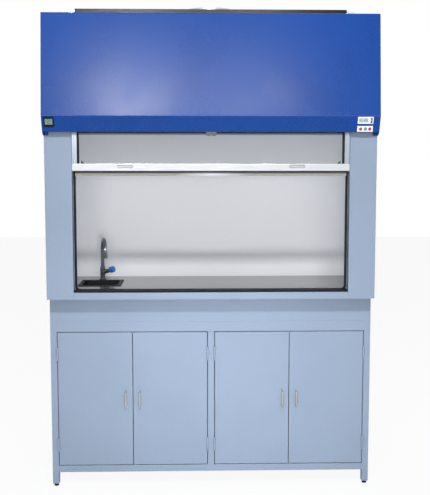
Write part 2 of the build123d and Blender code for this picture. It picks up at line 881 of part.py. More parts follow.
def canopy():
    top, ridge, low = canopy_outline()
    front = FilletPolyline(
        (face_y - sheet, top[1]), top, ridge, low, (low[0] + canopy_return, low[1]), radius=canopy_bend,
    )
    section = make_face(offset(front, sheet, side=Side.LEFT))
    width = 2 * (canopy_half - sheet)
    hood = extrude(Plane.YZ.offset(-width / 2) * section, width)
    side = [(face_y, top[1]), top, ridge, low, (face_y - cheek_toe, cheek_bottom_z), (face_y, cheek_bottom_z)]
    face = make_face(Polyline(*side, close=True))
    face = fillet(face.vertices().sort_by(Axis.X)[:3], canopy_bend)
    cheek = extrude(Plane.YZ.offset(canopy_half - sheet) * face, sheet)
    edge = canopy_half - sheet - cheek_flange
    flange = block(edge, canopy_half, face_y - sheet, face_y, cheek_bottom_z, canopy_top_z)
    hood += cheek + mirrored(cheek) + flange + mirrored(flange)
    cuts = [
        (meter_x, meter_v, meter_side - housing_inset, meter_side - housing_inset),
        (plate_x, display_v, plate_width - 2 * housing_inset, display_height - 2 * housing_inset),
        (plate_x, control_v, plate_width - 2 * housing_inset, control_height - 2 * housing_inset),
    ]
    for x, v, width, height in cuts:
        hood -= band_block(x, v, width + 2 * slack, height + 2 * slack, 6, 6)
    return hood


def panel_meter():
    bezel = band_block(meter_x, meter_v, meter_side, meter_side, 0, meter_bezel)
    bezel = fillet(bezel.edges().group_by(SortBy.LENGTH)[0], meter_rounding)
    body_side = meter_side - housing_inset
    body = band_block(meter_x, meter_v, body_side, body_side, meter_body, 0)
    floor = meter_bezel - meter_window_depth
    return bezel + body - meter_window(floor, meter_bezel + 1)


def meter_window(inside, outside):
    """The meter's window, between two heights above the band."""
    size = (meter_window_width, meter_window_height)
    return band_block(meter_x, meter_v + meter_window_v, *size, -inside, outside)


def display_window(inside, outside):
    """The display plate's window, between two heights above the band."""
    return band_block(screen_x, display_v, screen_width, screen_height, -inside, outside)


def key_places():
    x = plate_x + key_offset
    return {"key_upper": (x, display_v + key_spread / 2), "key_lower": (x, display_v - key_spread / 2)}


def button_places():
    names = ("button_left", "button_middle", "button_right")
    return {name: (plate_x + offset_x, control_v) for name, offset_x in zip(names, button_offsets)}


def display_plate():
    """White plate with a housing behind it, a screen recess and two key pockets."""
    plate = band_block(plate_x, display_v, plate_width, display_height, 0, plate_front)
    inner = (plate_width - 2 * housing_inset, display_height - 2 * housing_inset)
    plate += band_block(plate_x, display_v, *inner, housing_depth, 0)
    plate -= display_window(plate_front - screen_depth, plate_front + 1)
    pocket = (key_width + 2 * slack, key_height + 2 * slack)
    for x, v in key_places().values():
        plate -= band_block(x, v, *pocket, button_depth, plate_front + 1)
    return plate


def control_plate():
    """White plate with a housing behind it and three round button pockets."""
    plate = band_block(plate_x, control_v, plate_width, control_height, 0, plate_front)
    inner = (plate_width - 2 * housing_inset, control_height - 2 * housing_inset)
    plate += band_block(plate_x, control_v, *inner, housing_depth, 0)
    for x, v in button_places().values():
        plate -= band_rod(x, v, button_radius + slack, button_depth, plate_front + 1)
    return plate


def band_rod(x, v, radius, inside, outside):
    return band_plane() * Pos(x, v, (outside - inside) / 2) * Cylinder(radius, inside + outside)


def button(x, v):
    depth_in = button_depth - button_travel - slack
    cap = band_rod(x, v, button_radius, depth_in, plate_front + button_out)
    front = cap.edges().sort_by(lambda e: e.center().Y)[0]
    return chamfer(front, button_chamfer)


def key(x, v):
    depth_in = button_depth - button_travel - slack
    return band_block(x, v, key_width, key_height, depth_in, plate_front + key_out)


def display_screens():
    """The meter's and the display plate's screens, seated in their recesses."""
    meter = meter_window(meter_bezel - meter_window_depth, meter_bezel - screen_depth)
    return [meter, display_window(plate_front - screen_depth, plate_front)]


def sash_bumpers():
    """Bracket under the canopy's lower flange with two rubber stops for the sash bar."""
    y0 = face_y - band_bottom_out + 2 * sheet
    y = back_of_face(sash_front + slack)
    top = band_bottom_z
    low = top - bumper_plate
    y1 = y + bumper_depth + bumper_margin
    piece = block(-bumper_bracket / 2, bumper_bracket / 2, y0, y1, low, top)
    for x in (-bumper_spread / 2, bumper_spread / 2):
        reach = bumper_width / 2
        stop = block(x - reach, x + reach, y, y + bumper_depth, low - bumper_height, low)
        piece += fillet(stop.edges().filter_by(Axis.Y).group_by(Axis.Z)[0], bumper_corner)
    return piece


# Chamber fittings
def lamp():
    y0 = back_of_face(lamp_depth)
    low = ceiling_z - lamp_height
    reach = lamp_length / 2
    tray = block(-reach, reach, y0, y0 + lamp_width, low, ceiling_z)
    tray = chamfer(tray.edges().filter_by(Axis.X).group_by(Axis.Z)[0], lamp_lip - diffuser_seat)
    reach -= lamp_wall
    return tray - block(-reach, reach, y0 + lamp_lip, y0 + lamp_width - lamp_lip, low, ceiling_z - lamp_top)


def lamp_diffuser():
    y0 = back_of_face(lamp_depth) + lamp_lip
    y1 = y0 + lamp_width - 2 * lamp_lip
    low = ceiling_z - lamp_height
    reach = lamp_length / 2 - lamp_wall
    cover = block(-reach, reach, y0, y1, low - diffuser_height, low + diffuser_seat)
    return fillet(cover.edges().filter_by(Axis.X).group_by(Axis.Z)[0], diffuser_height * 0.7)


def exhaust_collar():
    """Spigot with a flange on the roof, and a narrower neck down to the ceiling."""
    low = ceiling_z + liner_thickness
    step = roof_z + flange_thickness
    outer = [
        (neck_radius, low), (neck_radius, roof_z), (collar_radius + collar_flange, roof_z),
        (collar_radius + collar_flange, step), (collar_radius, step), (collar_radius, collar_top_z),
    ]
    bore = collar_radius - sheet
    inner = [(bore, collar_top_z), (bore, step), (neck_bore, step), (neck_bore, low)]
    wall = revolve(Plane.XZ * make_face(Polyline(*outer, *inner, close=True)), Axis.Z)
    return Pos(0, back_of_face(exhaust_depth), 0) * wall


def sink():
    """Moulded bowl with a rim, and its waste, trap and outlet as separate solids."""
    y = back_of_face(sink_depth_y)

    def tub(inset, top, bottom, corner):
        x0, x1, y0, y1 = sink_span(inset)
        outline = RectangleRounded(x1 - x0, y1 - y0, corner)
        plane = Plane((sink_x, y, top), z_dir=(0, 0, -1))
        return extrude(plane * outline, top - bottom, taper=sink_taper)
    rim_corner = sink_corner / 2
    rim = RectangleRounded(sink_width, sink_length, rim_corner)
    rim = Pos(sink_x, y, worktop_z) * extrude(rim, sink_rim_height)
    low = worktop_z - sink_depth
    inset = sink_rim + sink_skirt
    outer = tub(inset, worktop_z, low, sink_corner)
    outer = fillet(outer.faces().sort_by(Axis.Z)[0].edges(), sink_foot)
    inner = tub(inset + sink_wall, worktop_z + sink_rim_height, low + sink_wall, sink_corner - sink_wall)
    inner = fillet(inner.faces().sort_by(Axis.Z)[0].edges(), sink_foot - sink_wall)
    drain = rod(waste_bore, (sink_x, y, low - 1), (sink_x, y, low + sink_wall + 1))
    bowl = rim + outer - inner - drain

    trap_low = trap_top_z - trap_height
    tail = rod(waste_radius + waste_flange, (sink_x, y, low - waste_flange_height), (sink_x, y, low))
    tail += rod(waste_radius, (sink_x, y, trap_top_z), (sink_x, y, low))
    tail -= rod(waste_bore, (sink_x, y, trap_top_z), (sink_x, y, low))
    bottle = rod(trap_radius, (sink_x, y, trap_low), (sink_x, y, trap_top_z))
    bottle = fillet(bottle.edges().group_by(Axis.Z)[0], trap_foot)
    outlet = rod(waste_radius, (sink_x, y, drain_z), (sink_x, drain_end_y, drain_z))
    outlet_start = (sink_x, y + trap_radius, drain_z)
    bottle = bottle + outlet - rod(waste_bore, outlet_start, (sink_x, drain_end_y, drain_z))
    bottle -= rod(waste_bore, (sink_x, y, drain_z), (sink_x, y, trap_top_z))
    return [bowl, tail, bottle]


def tap_axis():
    """Direction of the side valve: forwards, to the right and a little up."""
    return Vector(0.80, -0.48, 0.30).normalized()


def tap_body():
    """Turned body with its shank and nut, and the side bonnet as its own solid."""
    top, foot = tap_body_top_z, worktop_z + tap_flange_height
    waist = tap_body_radius - tap_waist
    waist_top = foot + tap_waist_height
    edge = tap_flange_edge
    outline = Polyline(
        (0, body_floor_z - shank_drop), (shank_radius, body_floor_z - shank_drop), (shank_radius, worktop_z),
        (tap_flange_radius, worktop_z), (tap_flange_radius, foot - edge), (tap_flange_radius - edge, foot),
        (waist, foot), (waist, waist_top), (tap_body_radius, waist_top + tap_shoulder),
        (tap_body_radius, top - tap_shoulder), (waist, top), (0, top), close=True,
    )
    body = Pos(tap_x, tap_y, 0) * revolve(Plane.XZ * make_face(outline), Axis.Z)
    body -= rod(spout_radius + running, (tap_x, tap_y, top - tap_socket), (tap_x, tap_y, top))
    nut_plane = Plane.XY.offset(body_floor_z - shank_nut_height)
    nut = nut_plane * Pos(tap_x, tap_y) * (RegularPolygon(shank_nut_radius, 6) - Circle(shank_radius))
    return [body, extrude(nut, shank_nut_height), bonnet()]


def bonnet():
    """The side valve: neck, hexagon, gland and spindle along the valve's axis."""
    start = Vector(tap_x, tap_y, bonnet_z)
    axis = tap_axis()
    flats = Plane(origin=start + axis * bonnet_length * 0.45, z_dir=axis)
    gland = start + axis * bonnet_length * 0.6
    end = start + axis * bonnet_length
    neck = rod(bonnet_radius - tap_waist, start, flats.origin)
    neck -= rod(tap_body_radius, (tap_x, tap_y, worktop_z), (tap_x, tap_y, tap_body_top_z))
    neck += extrude(flats * RegularPolygon(bonnet_radius, 6), bonnet_length * 0.25)
    neck += rod(bonnet_radius - bonnet_step, gland, end)
    return neck + rod(spindle_radius, end, end + axis * (knob_length - spindle_short))


def tap_spout():
    """Gooseneck with a nozzle, turned a little from straight forward."""
    mid_z = spout_top_z - spout_radius - spout_reach / 2
    start = tap_body_top_z - tap_socket + slack
    nozzle_top = nozzle_end_z + nozzle_height
    rise = Line((0, 0, start), (0, 0, mid_z))
    crown = (0, -spout_reach / 2, mid_z + spout_reach / 2)
    over = ThreePointArc((0, 0, mid_z), crown, (0, -spout_reach, mid_z))
    drop = Line((0, -spout_reach, mid_z), (0, -spout_reach, nozzle_end_z + nozzle_height / 2))
    path = Wire([rise.edge(), over.edge(), drop.edge()])
    neck = sweep(Plane.XY.offset(start) * Circle(spout_radius), path)
    ring = (spout_radius + spout_collar, tap_body_top_z + slack, tap_body_top_z + spout_collar_height)
    neck += rod(ring[0], (0, 0, ring[1]), (0, 0, ring[2]))
    tip = rod(nozzle_radius, (0, -spout_reach, nozzle_end_z), (0, -spout_reach, nozzle_top))
    neck += chamfer(tip.edges().group_by(Axis.Z)[0], nozzle_chamfer)
    bore = (spout_radius - spout_wall, nozzle_end_z, nozzle_end_z + nozzle_bore)
    neck -= rod(bore[0], (0, -spout_reach, bore[1]), (0, -spout_reach, bore[2]))
    return Pos(tap_x, tap_y, 0) * Rot(0, 0, tap_turn) * neck


def tap_knob():
    """Lobed knob on the valve spindle."""
    start = Vector(tap_x, tap_y, bonnet_z) + tap_axis() * (bonnet_length + slack)
    plane = Plane(origin=start, z_dir=tap_axis())
    knob = fillet(extrude(plane * Circle(knob_radius), knob_length).edges(), knob_rounding)
    places = PolarLocations(knob_radius + knob_flute_out, knob_lobes, 180 / knob_lobes)
    flutes = Sketch() + places * Circle(knob_flute)
    knob -= extrude(plane * flutes, knob_length)
    bore_depth = knob_length - spindle_short + slack
    return knob - extrude(plane * Circle(spindle_radius + running), bore_depth)


def write(name, pieces):
    """Write one node, from one solid or a list of separate solids."""
    if isinstance(pieces, list):
        solids = [s for piece in pieces for s in piece.solids()]
        shape = Compound(children=solids) if len(solids) > 1 else solids[0]
    else:
        solids = pieces.solids()
        shape = solids[0] if len(solids) == 1 else Compound(children=solids)
    shape.label = name
    export_step(shape, f"parts/{name}.step")


nodes = {
    "base_frame": base_frame(),
    "base_panels": base_panels(),
    "skirt": skirt(),
    "hinge_leaves": hinge_leaves(),
    "door_catches": door_catches(),
    "sill": sill(),
    "floor_pan": floor_pan(),
    "inner_header": inner_header(),
    "outer_panels": outer_panels(),
    "roof": roof(),
    "liner_panels": liner_panels(),
    "ceiling": ceiling(),
    "baffle_plates": baffle_plates(),
    "worktop": worktop(),
    "opening_seal": opening_seal(),
    "sash_guides": both_sides(sash_guide()),
    "sash_bumpers": sash_bumpers(),
    "sash_bar": sash_bar(),
    "finger_pulls": finger_pulls(),
    "sash_stiles": both_sides(sash_stile()),
    "sash_top_rail": sash_top_rail(),
    "sash_glass": sash_glass(),
    "sash_seals": sash_seals(),
    "pulley_brackets": both_sides(pulley_bracket()),
    "cables": both_sides(cable()),
    "canopy": canopy(),
    "panel_meter": panel_meter(),
    "display_plate": display_plate(),
    "control_plate": control_plate(),
    "display_screens": display_screens(),
    "lamp": lamp(),
    "lamp_diffuser": lamp_diffuser(),
    "exhaust_collar": exhaust_collar(),
    "sink": sink(),
    "tap_body": tap_body(),
    "tap_spout": tap_spout(),
    "tap_knob": tap_knob(),
}
for corner, place in leg_corners().items():
    nodes[f"foot_{corner}"] = foot(*place)
for door_name, hinge_side, left, right in door_edges():
    nodes[f"door_{door_name}"] = door(hinge_side, left, right)
    nodes[f"handle_{door_name}"] = handle(hinge_side, left, right)
for control, place in button_places().items():
    nodes[control] = button(*place)
for control, place in key_places().items():
    nodes[control] = key(*place)
for maker, name in ((post, "post"), (pulley, "pulley"), (counterweight, "counterweight")):
    right_piece = maker()
    nodes[f"{name}_right"] = right_piece
    nodes[f"{name}_left"] = mirrored(right_piece)

for name, pieces in nodes.items():
    write(name, pieces)
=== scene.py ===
import math

import bpy
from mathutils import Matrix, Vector


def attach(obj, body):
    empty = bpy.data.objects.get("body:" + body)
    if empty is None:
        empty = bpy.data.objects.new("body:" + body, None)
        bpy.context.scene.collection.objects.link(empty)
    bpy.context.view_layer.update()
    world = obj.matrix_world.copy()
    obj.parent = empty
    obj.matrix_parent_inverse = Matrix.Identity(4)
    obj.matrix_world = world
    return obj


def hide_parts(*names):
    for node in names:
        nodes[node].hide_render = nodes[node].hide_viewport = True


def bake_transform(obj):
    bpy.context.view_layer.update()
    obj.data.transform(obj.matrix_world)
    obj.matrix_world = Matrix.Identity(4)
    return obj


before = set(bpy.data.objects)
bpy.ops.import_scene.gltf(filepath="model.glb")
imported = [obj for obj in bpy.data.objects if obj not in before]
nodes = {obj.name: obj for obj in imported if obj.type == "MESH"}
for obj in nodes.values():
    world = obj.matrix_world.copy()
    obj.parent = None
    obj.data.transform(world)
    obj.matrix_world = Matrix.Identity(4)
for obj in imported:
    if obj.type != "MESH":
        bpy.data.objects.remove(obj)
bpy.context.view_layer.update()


# The camera stands where the photograph was taken from: a little left of the hood's middle, at chest
# height, turned slightly to the right and down. Its lens was worked out from the hood's own edges.
photo_width, photo_height = 430, 495
focal_pixels = 850.0
camera_place = (-0.087, -4.207, 1.508)
camera_yaw, camera_pitch = 1.54, -5.44

camera_data = bpy.data.cameras.new("photo_camera")
camera_data.sensor_width = 36.0
camera_data.lens = camera_data.sensor_width * focal_pixels / max(photo_width, photo_height)
camera = bpy.data.objects.new("photo_camera", camera_data)
camera.location = camera_place
camera.rotation_euler = (math.radians(90 + camera_pitch), 0, math.radians(-camera_yaw))
bpy.context.scene.collection.objects.link(camera)
bpy.context.scene.camera = camera
bpy.context.scene.view_settings.view_transform = "Standard"


# The studio: a pale floor with a white surround, a broad soft lamp in front, a high one that reaches
# under the sash to the foot of the rear wall, weak ones inside the opening, and small ones for gloss.
def add_node(tree, kind, inputs=None, **settings):
    """A node with its settings, and its inputs by name: a socket is linked, anything else is a value."""
    made = tree.nodes.new(kind)
    for name, value in settings.items():
        setattr(made, name, value)
    for name, value in (inputs or {}).items():
        if isinstance(value, bpy.types.NodeSocket):
            tree.links.new(value, made.inputs[name])
        else:
            made.inputs[name].default_value = value
    return made


surround = bpy.data.worlds.new("surround")
surround.use_nodes = True
bpy.context.scene.world = surround
tree = surround.node_tree
tree.nodes.clear()
rays = add_node(tree, "ShaderNodeLightPath")
seen = add_node(tree, "ShaderNodeMath", {0: rays.outputs["Is Camera Ray"], 1: rays.outputs["Is Glossy Ray"]}, operation="MAXIMUM")
seen = add_node(tree, "ShaderNodeMath", {0: seen.outputs[0], 1: rays.outputs["Is Transmission Ray"]}, operation="MAXIMUM")
room_light = add_node(tree, "ShaderNodeBackground", {"Color": (0.95, 0.98, 1.0, 1), "Strength": 0.36})
white_view = add_node(tree, "ShaderNodeBackground", {"Color": (1, 1, 1, 1), "Strength": 1.0})
both = add_node(tree, "ShaderNodeMixShader", {0: seen.outputs[0], 1: room_light.outputs[0], 2: white_view.outputs[0]})
add_node(tree, "ShaderNodeOutputWorld", {"Surface": both.outputs[0]})

floor_reach = 14.0
floor_mesh = bpy.data.meshes.new("floor")
floor_mesh.from_pydata(
    [(-floor_reach, -floor_reach, 0), (floor_reach, -floor_reach, 0), (floor_reach, floor_reach, 0), (-floor_reach, floor_reach, 0)],
    [], [(0, 1, 2, 3)],
)
floor = bpy.data.objects.new("floor", floor_mesh)
bpy.context.scene.collection.objects.link(floor)
floor_finish = bpy.data.materials.new("pale_floor")
floor_finish.use_nodes = True
tree = floor_finish.node_tree
tree.nodes.clear()
rays = add_node(tree, "ShaderNodeLightPath")
place = add_node(tree, "ShaderNodeTexCoord")
screed = add_node(tree, "ShaderNodeTexNoise", {"Vector": place.outputs["Object"], "Scale": 6.0, "Detail": 4.0})
shade = add_node(tree, "ShaderNodeMapRange", {"Value": screed.outputs["Fac"], "To Min": 0.86, "To Max": 0.9})
dull = add_node(tree, "ShaderNodeBsdfDiffuse", {"Color": shade.outputs[0]})
glow = add_node(tree, "ShaderNodeEmission", {"Color": (1, 1, 1, 1), "Strength": 1.0})
share = add_node(tree, "ShaderNodeMath", {0: rays.outputs["Is Camera Ray"], 1: 0.92}, operation="MULTIPLY")
both = add_node(tree, "ShaderNodeMixShader", {0: share.outputs[0], 1: dull.outputs[0], 2: glow.outputs[0]})
add_node(tree, "ShaderNodeOutputMaterial", {"Surface": both.outputs[0]})
floor_mesh.materials.append(floor_finish)


def soft_lamp(name, place, aim, width, height, power, gloss=False, lights=True, spread=180):
    """A rectangular lamp at place, turned towards aim; gloss says that shiny faces show it."""
    data = bpy.data.lights.new(name, "AREA")
    data.shape = "RECTANGLE"
    data.size, data.size_y, data.energy, data.spread = width, height, power, math.radians(spread)
    lamp = bpy.data.objects.new(name, data)
    lamp.location = place
    lamp.rotation_euler = (Vector(aim) - Vector(place)).to_track_quat("-Z", "Y").to_euler()
    lamp.visible_glossy = gloss
    lamp.visible_transmission = False
    lamp.visible_diffuse = lights
    bpy.context.scene.collection.objects.link(lamp)


soft_lamp("broad_front", (-0.1, -5.2, 1.25), (0, 0, 1.3), 2.4, 1.2, 51)
soft_lamp("high_front", (0.1, -3.4, 3.75), (0.1, 0, 1.0), 1.8, 0.25, 118)
soft_lamp("low_front", (0.05, -2.7, 0.5), (0.05, 0, 0.56), 0.7, 0.2, 3.4, spread=56)
soft_lamp("left_inside", (-0.6, -0.24, 1.35), (-0.62, 0.27, 1.35), 0.1, 0.9, 0.32)
soft_lamp("right_inside", (0.6, -0.24, 1.35), (0.62, 0.27, 1.35), 0.1, 0.9, 0.36)
soft_lamp("chamber_light", (0, -0.17, 2.06), (0, 0.1, 1.6), 0.6, 0.08, 0.14)
soft_lamp("left_flash", (-0.62, -3.9, 2.72), (-0.2, 0, 1.6), 0.16, 0.16, 42, gloss=True, lights=False)
soft_lamp("right_flash", (0.42, -3.9, 2.70), (0.2, 0, 1.6), 0.16, 0.16, 22, gloss=True, lights=False)
soft_lamp("overhead", (0, 1.5, 5.0), (0, 0.2, 1.5), 3.0, 3.0, 40)


# The steel body: base frame, skirt, doors, posts, sill and panels, all folded from sheet or welded
# from square tube and powder coated in one light blue-grey. The coat has a fine peel and soft mottling.
def start_group(name, inputs, outputs):
    """An empty shader group with named sockets, and its entry and exit nodes."""
    group = bpy.data.node_groups.new(name, "ShaderNodeTree")
    for label, kind, value in inputs:
        group.interface.new_socket(name=label, in_out="INPUT", socket_type=kind).default_value = value
    for label, kind in outputs:
        group.interface.new_socket(name=label, in_out="OUTPUT", socket_type=kind)
    return group, group.nodes.new("NodeGroupInput"), group.nodes.new("NodeGroupOutput")


worn_edge, entry, leave = start_group(
    "worn_edge", [("Reach", "NodeSocketFloat", 0.002), ("Amount", "NodeSocketFloat", 0.5)],
    [("Mask", "NodeSocketFloat")],
)
place = add_node(worn_edge, "ShaderNodeTexCoord")
rubs = add_node(worn_edge, "ShaderNodeTexNoise", {"Vector": place.outputs["Object"], "Scale": 38.0, "Detail": 4.0})
wear_and_fold_highlight = add_node(worn_edge, "ShaderNodeMapRange", {"Value": rubs.outputs["Fac"], "From Min": 0.42, "From Max": 0.62})
rounded = add_node(worn_edge, "ShaderNodeBevel", {"Radius": entry.outputs["Reach"]}, samples=4)
surface = add_node(worn_edge, "ShaderNodeNewGeometry")
agree = add_node(
    worn_edge, "ShaderNodeVectorMath", {0: rounded.outputs[0], 1: surface.outputs["Normal"]}, operation="DOT_PRODUCT",
)
edge = add_node(
    worn_edge, "ShaderNodeMapRange",
    {"Value": agree.outputs["Value"], "From Min": 0.985, "From Max": 0.85, "To Min": 0.0, "To Max": 1.0},
)
patchy = add_node(worn_edge, "ShaderNodeMath", {0: edge.outputs[0], 1: wear_and_fold_highlight.outputs[0]}, operation="MULTIPLY")
mask = add_node(worn_edge, "ShaderNodeMath", {0: patchy.outputs[0], 1: entry.outputs["Amount"]}, operation="MULTIPLY")
worn_edge.links.new(mask.outputs[0], leave.inputs["Mask"])

coat, entry, leave = start_group(
    "powder_coat",
    [("Colour", "NodeSocketColor", (0.5, 0.5, 0.5, 1)), ("Mottle", "NodeSocketFloat", 0.05),
     ("Roughness", "NodeSocketFloat", 0.4), ("Peel", "NodeSocketFloat", 1.0), ("Dust", "NodeSocketFloat", 0.3),
     ("Wear", "NodeSocketFloat", 0.4)],
    [("Colour", "NodeSocketColor"), ("Roughness", "NodeSocketFloat"), ("Height", "NodeSocketFloat")],
)
place = add_node(coat, "ShaderNodeTexCoord")
clouds = add_node(coat, "ShaderNodeTexNoise", {"Vector": place.outputs["Object"], "Scale": 2.6, "Detail": 5.0})
specks = add_node(coat, "ShaderNodeTexNoise", {"Vector": place.outputs["Object"], "Scale": 190.0, "Detail": 2.0})
peel = add_node(coat, "ShaderNodeTexNoise", {"Vector": place.outputs["Object"], "Scale": 620.0, "Detail": 1.0})
spread = add_node(coat, "ShaderNodeMapRange", {"Value": clouds.outputs["Fac"], "From Min": 0.3, "From Max": 0.7, "To Min": -1.0, "To Max": 1.0})
grain = add_node(coat, "ShaderNodeMapRange", {"Value": specks.outputs["Fac"], "From Min": 0.3, "From Max": 0.7, "To Min": -0.35, "To Max": 0.35})
total = add_node(coat, "ShaderNodeMath", {0: spread.outputs[0], 1: grain.outputs[0]}, operation="ADD")
lift = add_node(coat, "ShaderNodeMath", {0: total.outputs[0], 1: entry.outputs["Mottle"]}, operation="MULTIPLY")
gain = add_node(coat, "ShaderNodeMath", {0: lift.outputs[0], 1: 1.0}, operation="ADD")
toned = add_node(coat, "ShaderNodeVectorMath", {0: entry.outputs["Colour"]}, operation="SCALE")
coat.links.new(gain.outputs[0], toned.inputs["Scale"])
surface = add_node(coat, "ShaderNodeNewGeometry")
facing = add_node(coat, "ShaderNodeSeparateXYZ", {0: surface.outputs["Normal"]})
upward = add_node(coat, "ShaderNodeMapRange", {"Value": facing.outputs["Z"], "From Min": 0.4, "From Max": 0.95})
settled = add_node(coat, "ShaderNodeMath", {0: upward.outputs[0], 1: clouds.outputs["Fac"]}, operation="MULTIPLY")
dust = add_node(coat, "ShaderNodeMath", {0: settled.outputs[0], 1: entry.outputs["Dust"]}, operation="MULTIPLY")
dusted = add_node(coat, "ShaderNodeMix", {"Factor": dust.outputs[0], "A": toned.outputs[0], "B": (0.42, 0.41, 0.38, 1)}, data_type="RGBA")
rough = add_node(coat, "ShaderNodeMath", {0: total.outputs[0], 1: 0.035}, operation="MULTIPLY")
rough = add_node(coat, "ShaderNodeMath", {0: rough.outputs[0], 1: entry.outputs["Roughness"]}, operation="ADD")
rough = add_node(coat, "ShaderNodeMath", {0: rough.outputs[0], 1: dust.outputs[0]}, operation="ADD", use_clamp=True)
height = add_node(coat, "ShaderNodeMath", {0: peel.outputs["Fac"], 1: entry.outputs["Peel"]}, operation="MULTIPLY")
edges = add_node(coat, "ShaderNodeGroup", node_tree=worn_edge)
coat.links.new(entry.outputs["Wear"], edges.inputs["Amount"])
bare = add_node(
    coat, "ShaderNodeMix", {"Factor": edges.outputs["Mask"], "A": dusted.outputs["Result"], "B": (0.62, 0.65, 0.70, 1)},
    data_type="RGBA",
)
coat.links.new(bare.outputs["Result"], leave.inputs["Colour"])
coat.links.new(rough.outputs[0], leave.inputs["Roughness"])
coat.links.new(height.outputs[0], leave.inputs["Height"])


def start_material(name):
    """A material with a Principled shader, and the shader."""
    made = bpy.data.materials.new(name)
    made.use_nodes = True
    made.node_tree.nodes.clear()
    shader = add_node(made.node_tree, "ShaderNodeBsdfPrincipled")
    add_node(made.node_tree, "ShaderNodeOutputMaterial", {"Surface": shader.outputs[0]})
    return made, shader


def use_group(made, shader, group, bump, distance, **values):
    """The group in this material, with its own values, linked to the shader's like-named inputs."""
    tree = made.node_tree
    placed = add_node(tree, "ShaderNodeGroup", node_tree=group)
    for name, value in values.items():
        placed.inputs[name].default_value = value
    for out, to in (("Colour", "Base Color"), ("Roughness", "Roughness")):
        if out in placed.outputs:
            tree.links.new(placed.outputs[out], shader.inputs[to])
    relief = add_node(tree, "ShaderNodeBump", {"Height": placed.outputs["Height"], "Strength": bump, "Distance": distance})
    tree.links.new(relief.outputs[0], shader.inputs["Normal"])
    return placed


def paint(name, colour, roughness, mottle, shine):
    made, shader = start_material(name)
    use_group(made, shader, coat, 0.25, 0.0004, Colour=(*colour, 1), Roughness=roughness, Mottle=mottle)
    shader.inputs["Specular IOR Level"].default_value = shine
    return made


def finish_nodes(made, *names):
    """Gives CAD nodes their finish through their slots."""
    for name in names:
        piece = nodes[name]
        if not piece.material_slots:
            piece.data.materials.append(made)
        for place in piece.material_slots:
            place.material = made


body_colour = (0.232, 0.292, 0.392)
body_paint = paint("body_paint", body_colour, 0.42, 0.035, 0.5)
door_names = ["left_bay_left", "left_bay_right", "right_bay_left", "right_bay_right"]
finish_nodes(
    body_paint, "base_frame", "base_panels", "skirt", "hinge_leaves", "sill", "floor_pan", "inner_header",
    "outer_panels", "roof", "post_left", "post_right", *["door_" + name for name in door_names],
)


# The outer panels are riveted to the posts and the rear corners, and the cabinet's back is screwed on.
# The rivets are low domes in the body's paint, the screws have hexagon recesses.
heads = bpy.data.node_groups.new("fixing_heads", "GeometryNodeTree")
for label, kind in (
    ("Places", "NodeSocketGeometry"), ("Radius", "NodeSocketFloat"), ("Height", "NodeSocketFloat"),
    ("Recess", "NodeSocketFloat"), ("Finish", "NodeSocketMaterial"),
):
    heads.interface.new_socket(name=label, in_out="INPUT", socket_type=kind)
heads.interface.new_socket(name="Fixings", in_out="OUTPUT", socket_type="NodeSocketGeometry")
entry, leave = heads.nodes.new("NodeGroupInput"), heads.nodes.new("NodeGroupOutput")
crown = add_node(heads, "ShaderNodeMath", {0: entry.outputs["Radius"], 1: 0.8}, operation="MULTIPLY")
turned = add_node(heads, "GeometryNodeMeshCone", {
    "Vertices": 24, "Radius Top": crown.outputs[0], "Radius Bottom": entry.outputs["Radius"],
    "Depth": entry.outputs["Height"],
})
punch = add_node(heads, "GeometryNodeMeshCylinder", {
    "Vertices": 6, "Radius": entry.outputs["Recess"], "Depth": entry.outputs["Height"],
})
raised = add_node(heads, "ShaderNodeCombineXYZ", {"Z": entry.outputs["Height"]})
punch = add_node(heads, "GeometryNodeTransform", {"Geometry": punch.outputs["Mesh"], "Translation": raised.outputs[0]})
head = add_node(heads, "GeometryNodeMeshBoolean", operation="DIFFERENCE")
heads.links.new(turned.outputs["Mesh"], head.inputs[0])
heads.links.new(punch.outputs[0], head.inputs[1])
facing = add_node(heads, "GeometryNodeInputNamedAttribute", {"Name": "facing"}, data_type="FLOAT_VECTOR")
aimed = add_node(heads, "FunctionNodeAlignRotationToVector", {"Vector": facing.outputs["Attribute"]}, axis="Z")
placed = add_node(heads, "GeometryNodeInstanceOnPoints", {
    "Points": entry.outputs["Places"], "Instance": head.outputs["Mesh"], "Rotation": aimed.outputs[0],
})
real = add_node(heads, "GeometryNodeRealizeInstances", {"Geometry": placed.outputs[0]})
dressed = add_node(heads, "GeometryNodeSetMaterial", {"Geometry": real.outputs[0], "Material": entry.outputs["Finish"]})
heads.links.new(dressed.outputs[0], leave.inputs["Fixings"])


def new_piece(name, body, points, faces, finish=None):
    """A mesh piece that rides on a CAD body and takes its finish from a slot."""
    mesh = bpy.data.meshes.new(name)
    mesh.from_pydata(points, [], faces)
    if finish:
        mesh.materials.append(finish)
    piece = bpy.data.objects.new(name, mesh)
    bpy.context.scene.collection.objects.link(piece)
    if faces:
        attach(piece, body)
    return piece


def fixings(name, body, finish, spots, radius, height, recess):
    """Heads at spots, each a place and the way that it faces, made one plain mesh on the body."""
    piece = new_piece(name, body, [place for place, way in spots], [])
    facing = piece.data.attributes.new("facing", "FLOAT_VECTOR", "POINT")
    facing.data.foreach_set("vector", [part for place, way in spots for part in way])
    grown = piece.modifiers.new("heads", "NODES")
    grown.node_group = heads
    given = {"Radius": radius, "Height": height, "Recess": recess, "Finish": finish}
    for socket in heads.interface.items_tree:
        if socket.name in given:
            grown[socket.identifier] = given[socket.name]
    shapes = bpy.context.evaluated_depsgraph_get()
    made = bpy.data.meshes.new_from_object(piece.evaluated_get(shapes), depsgraph=shapes)
    piece.modifiers.clear()
    piece.data = made
    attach(piece, body)


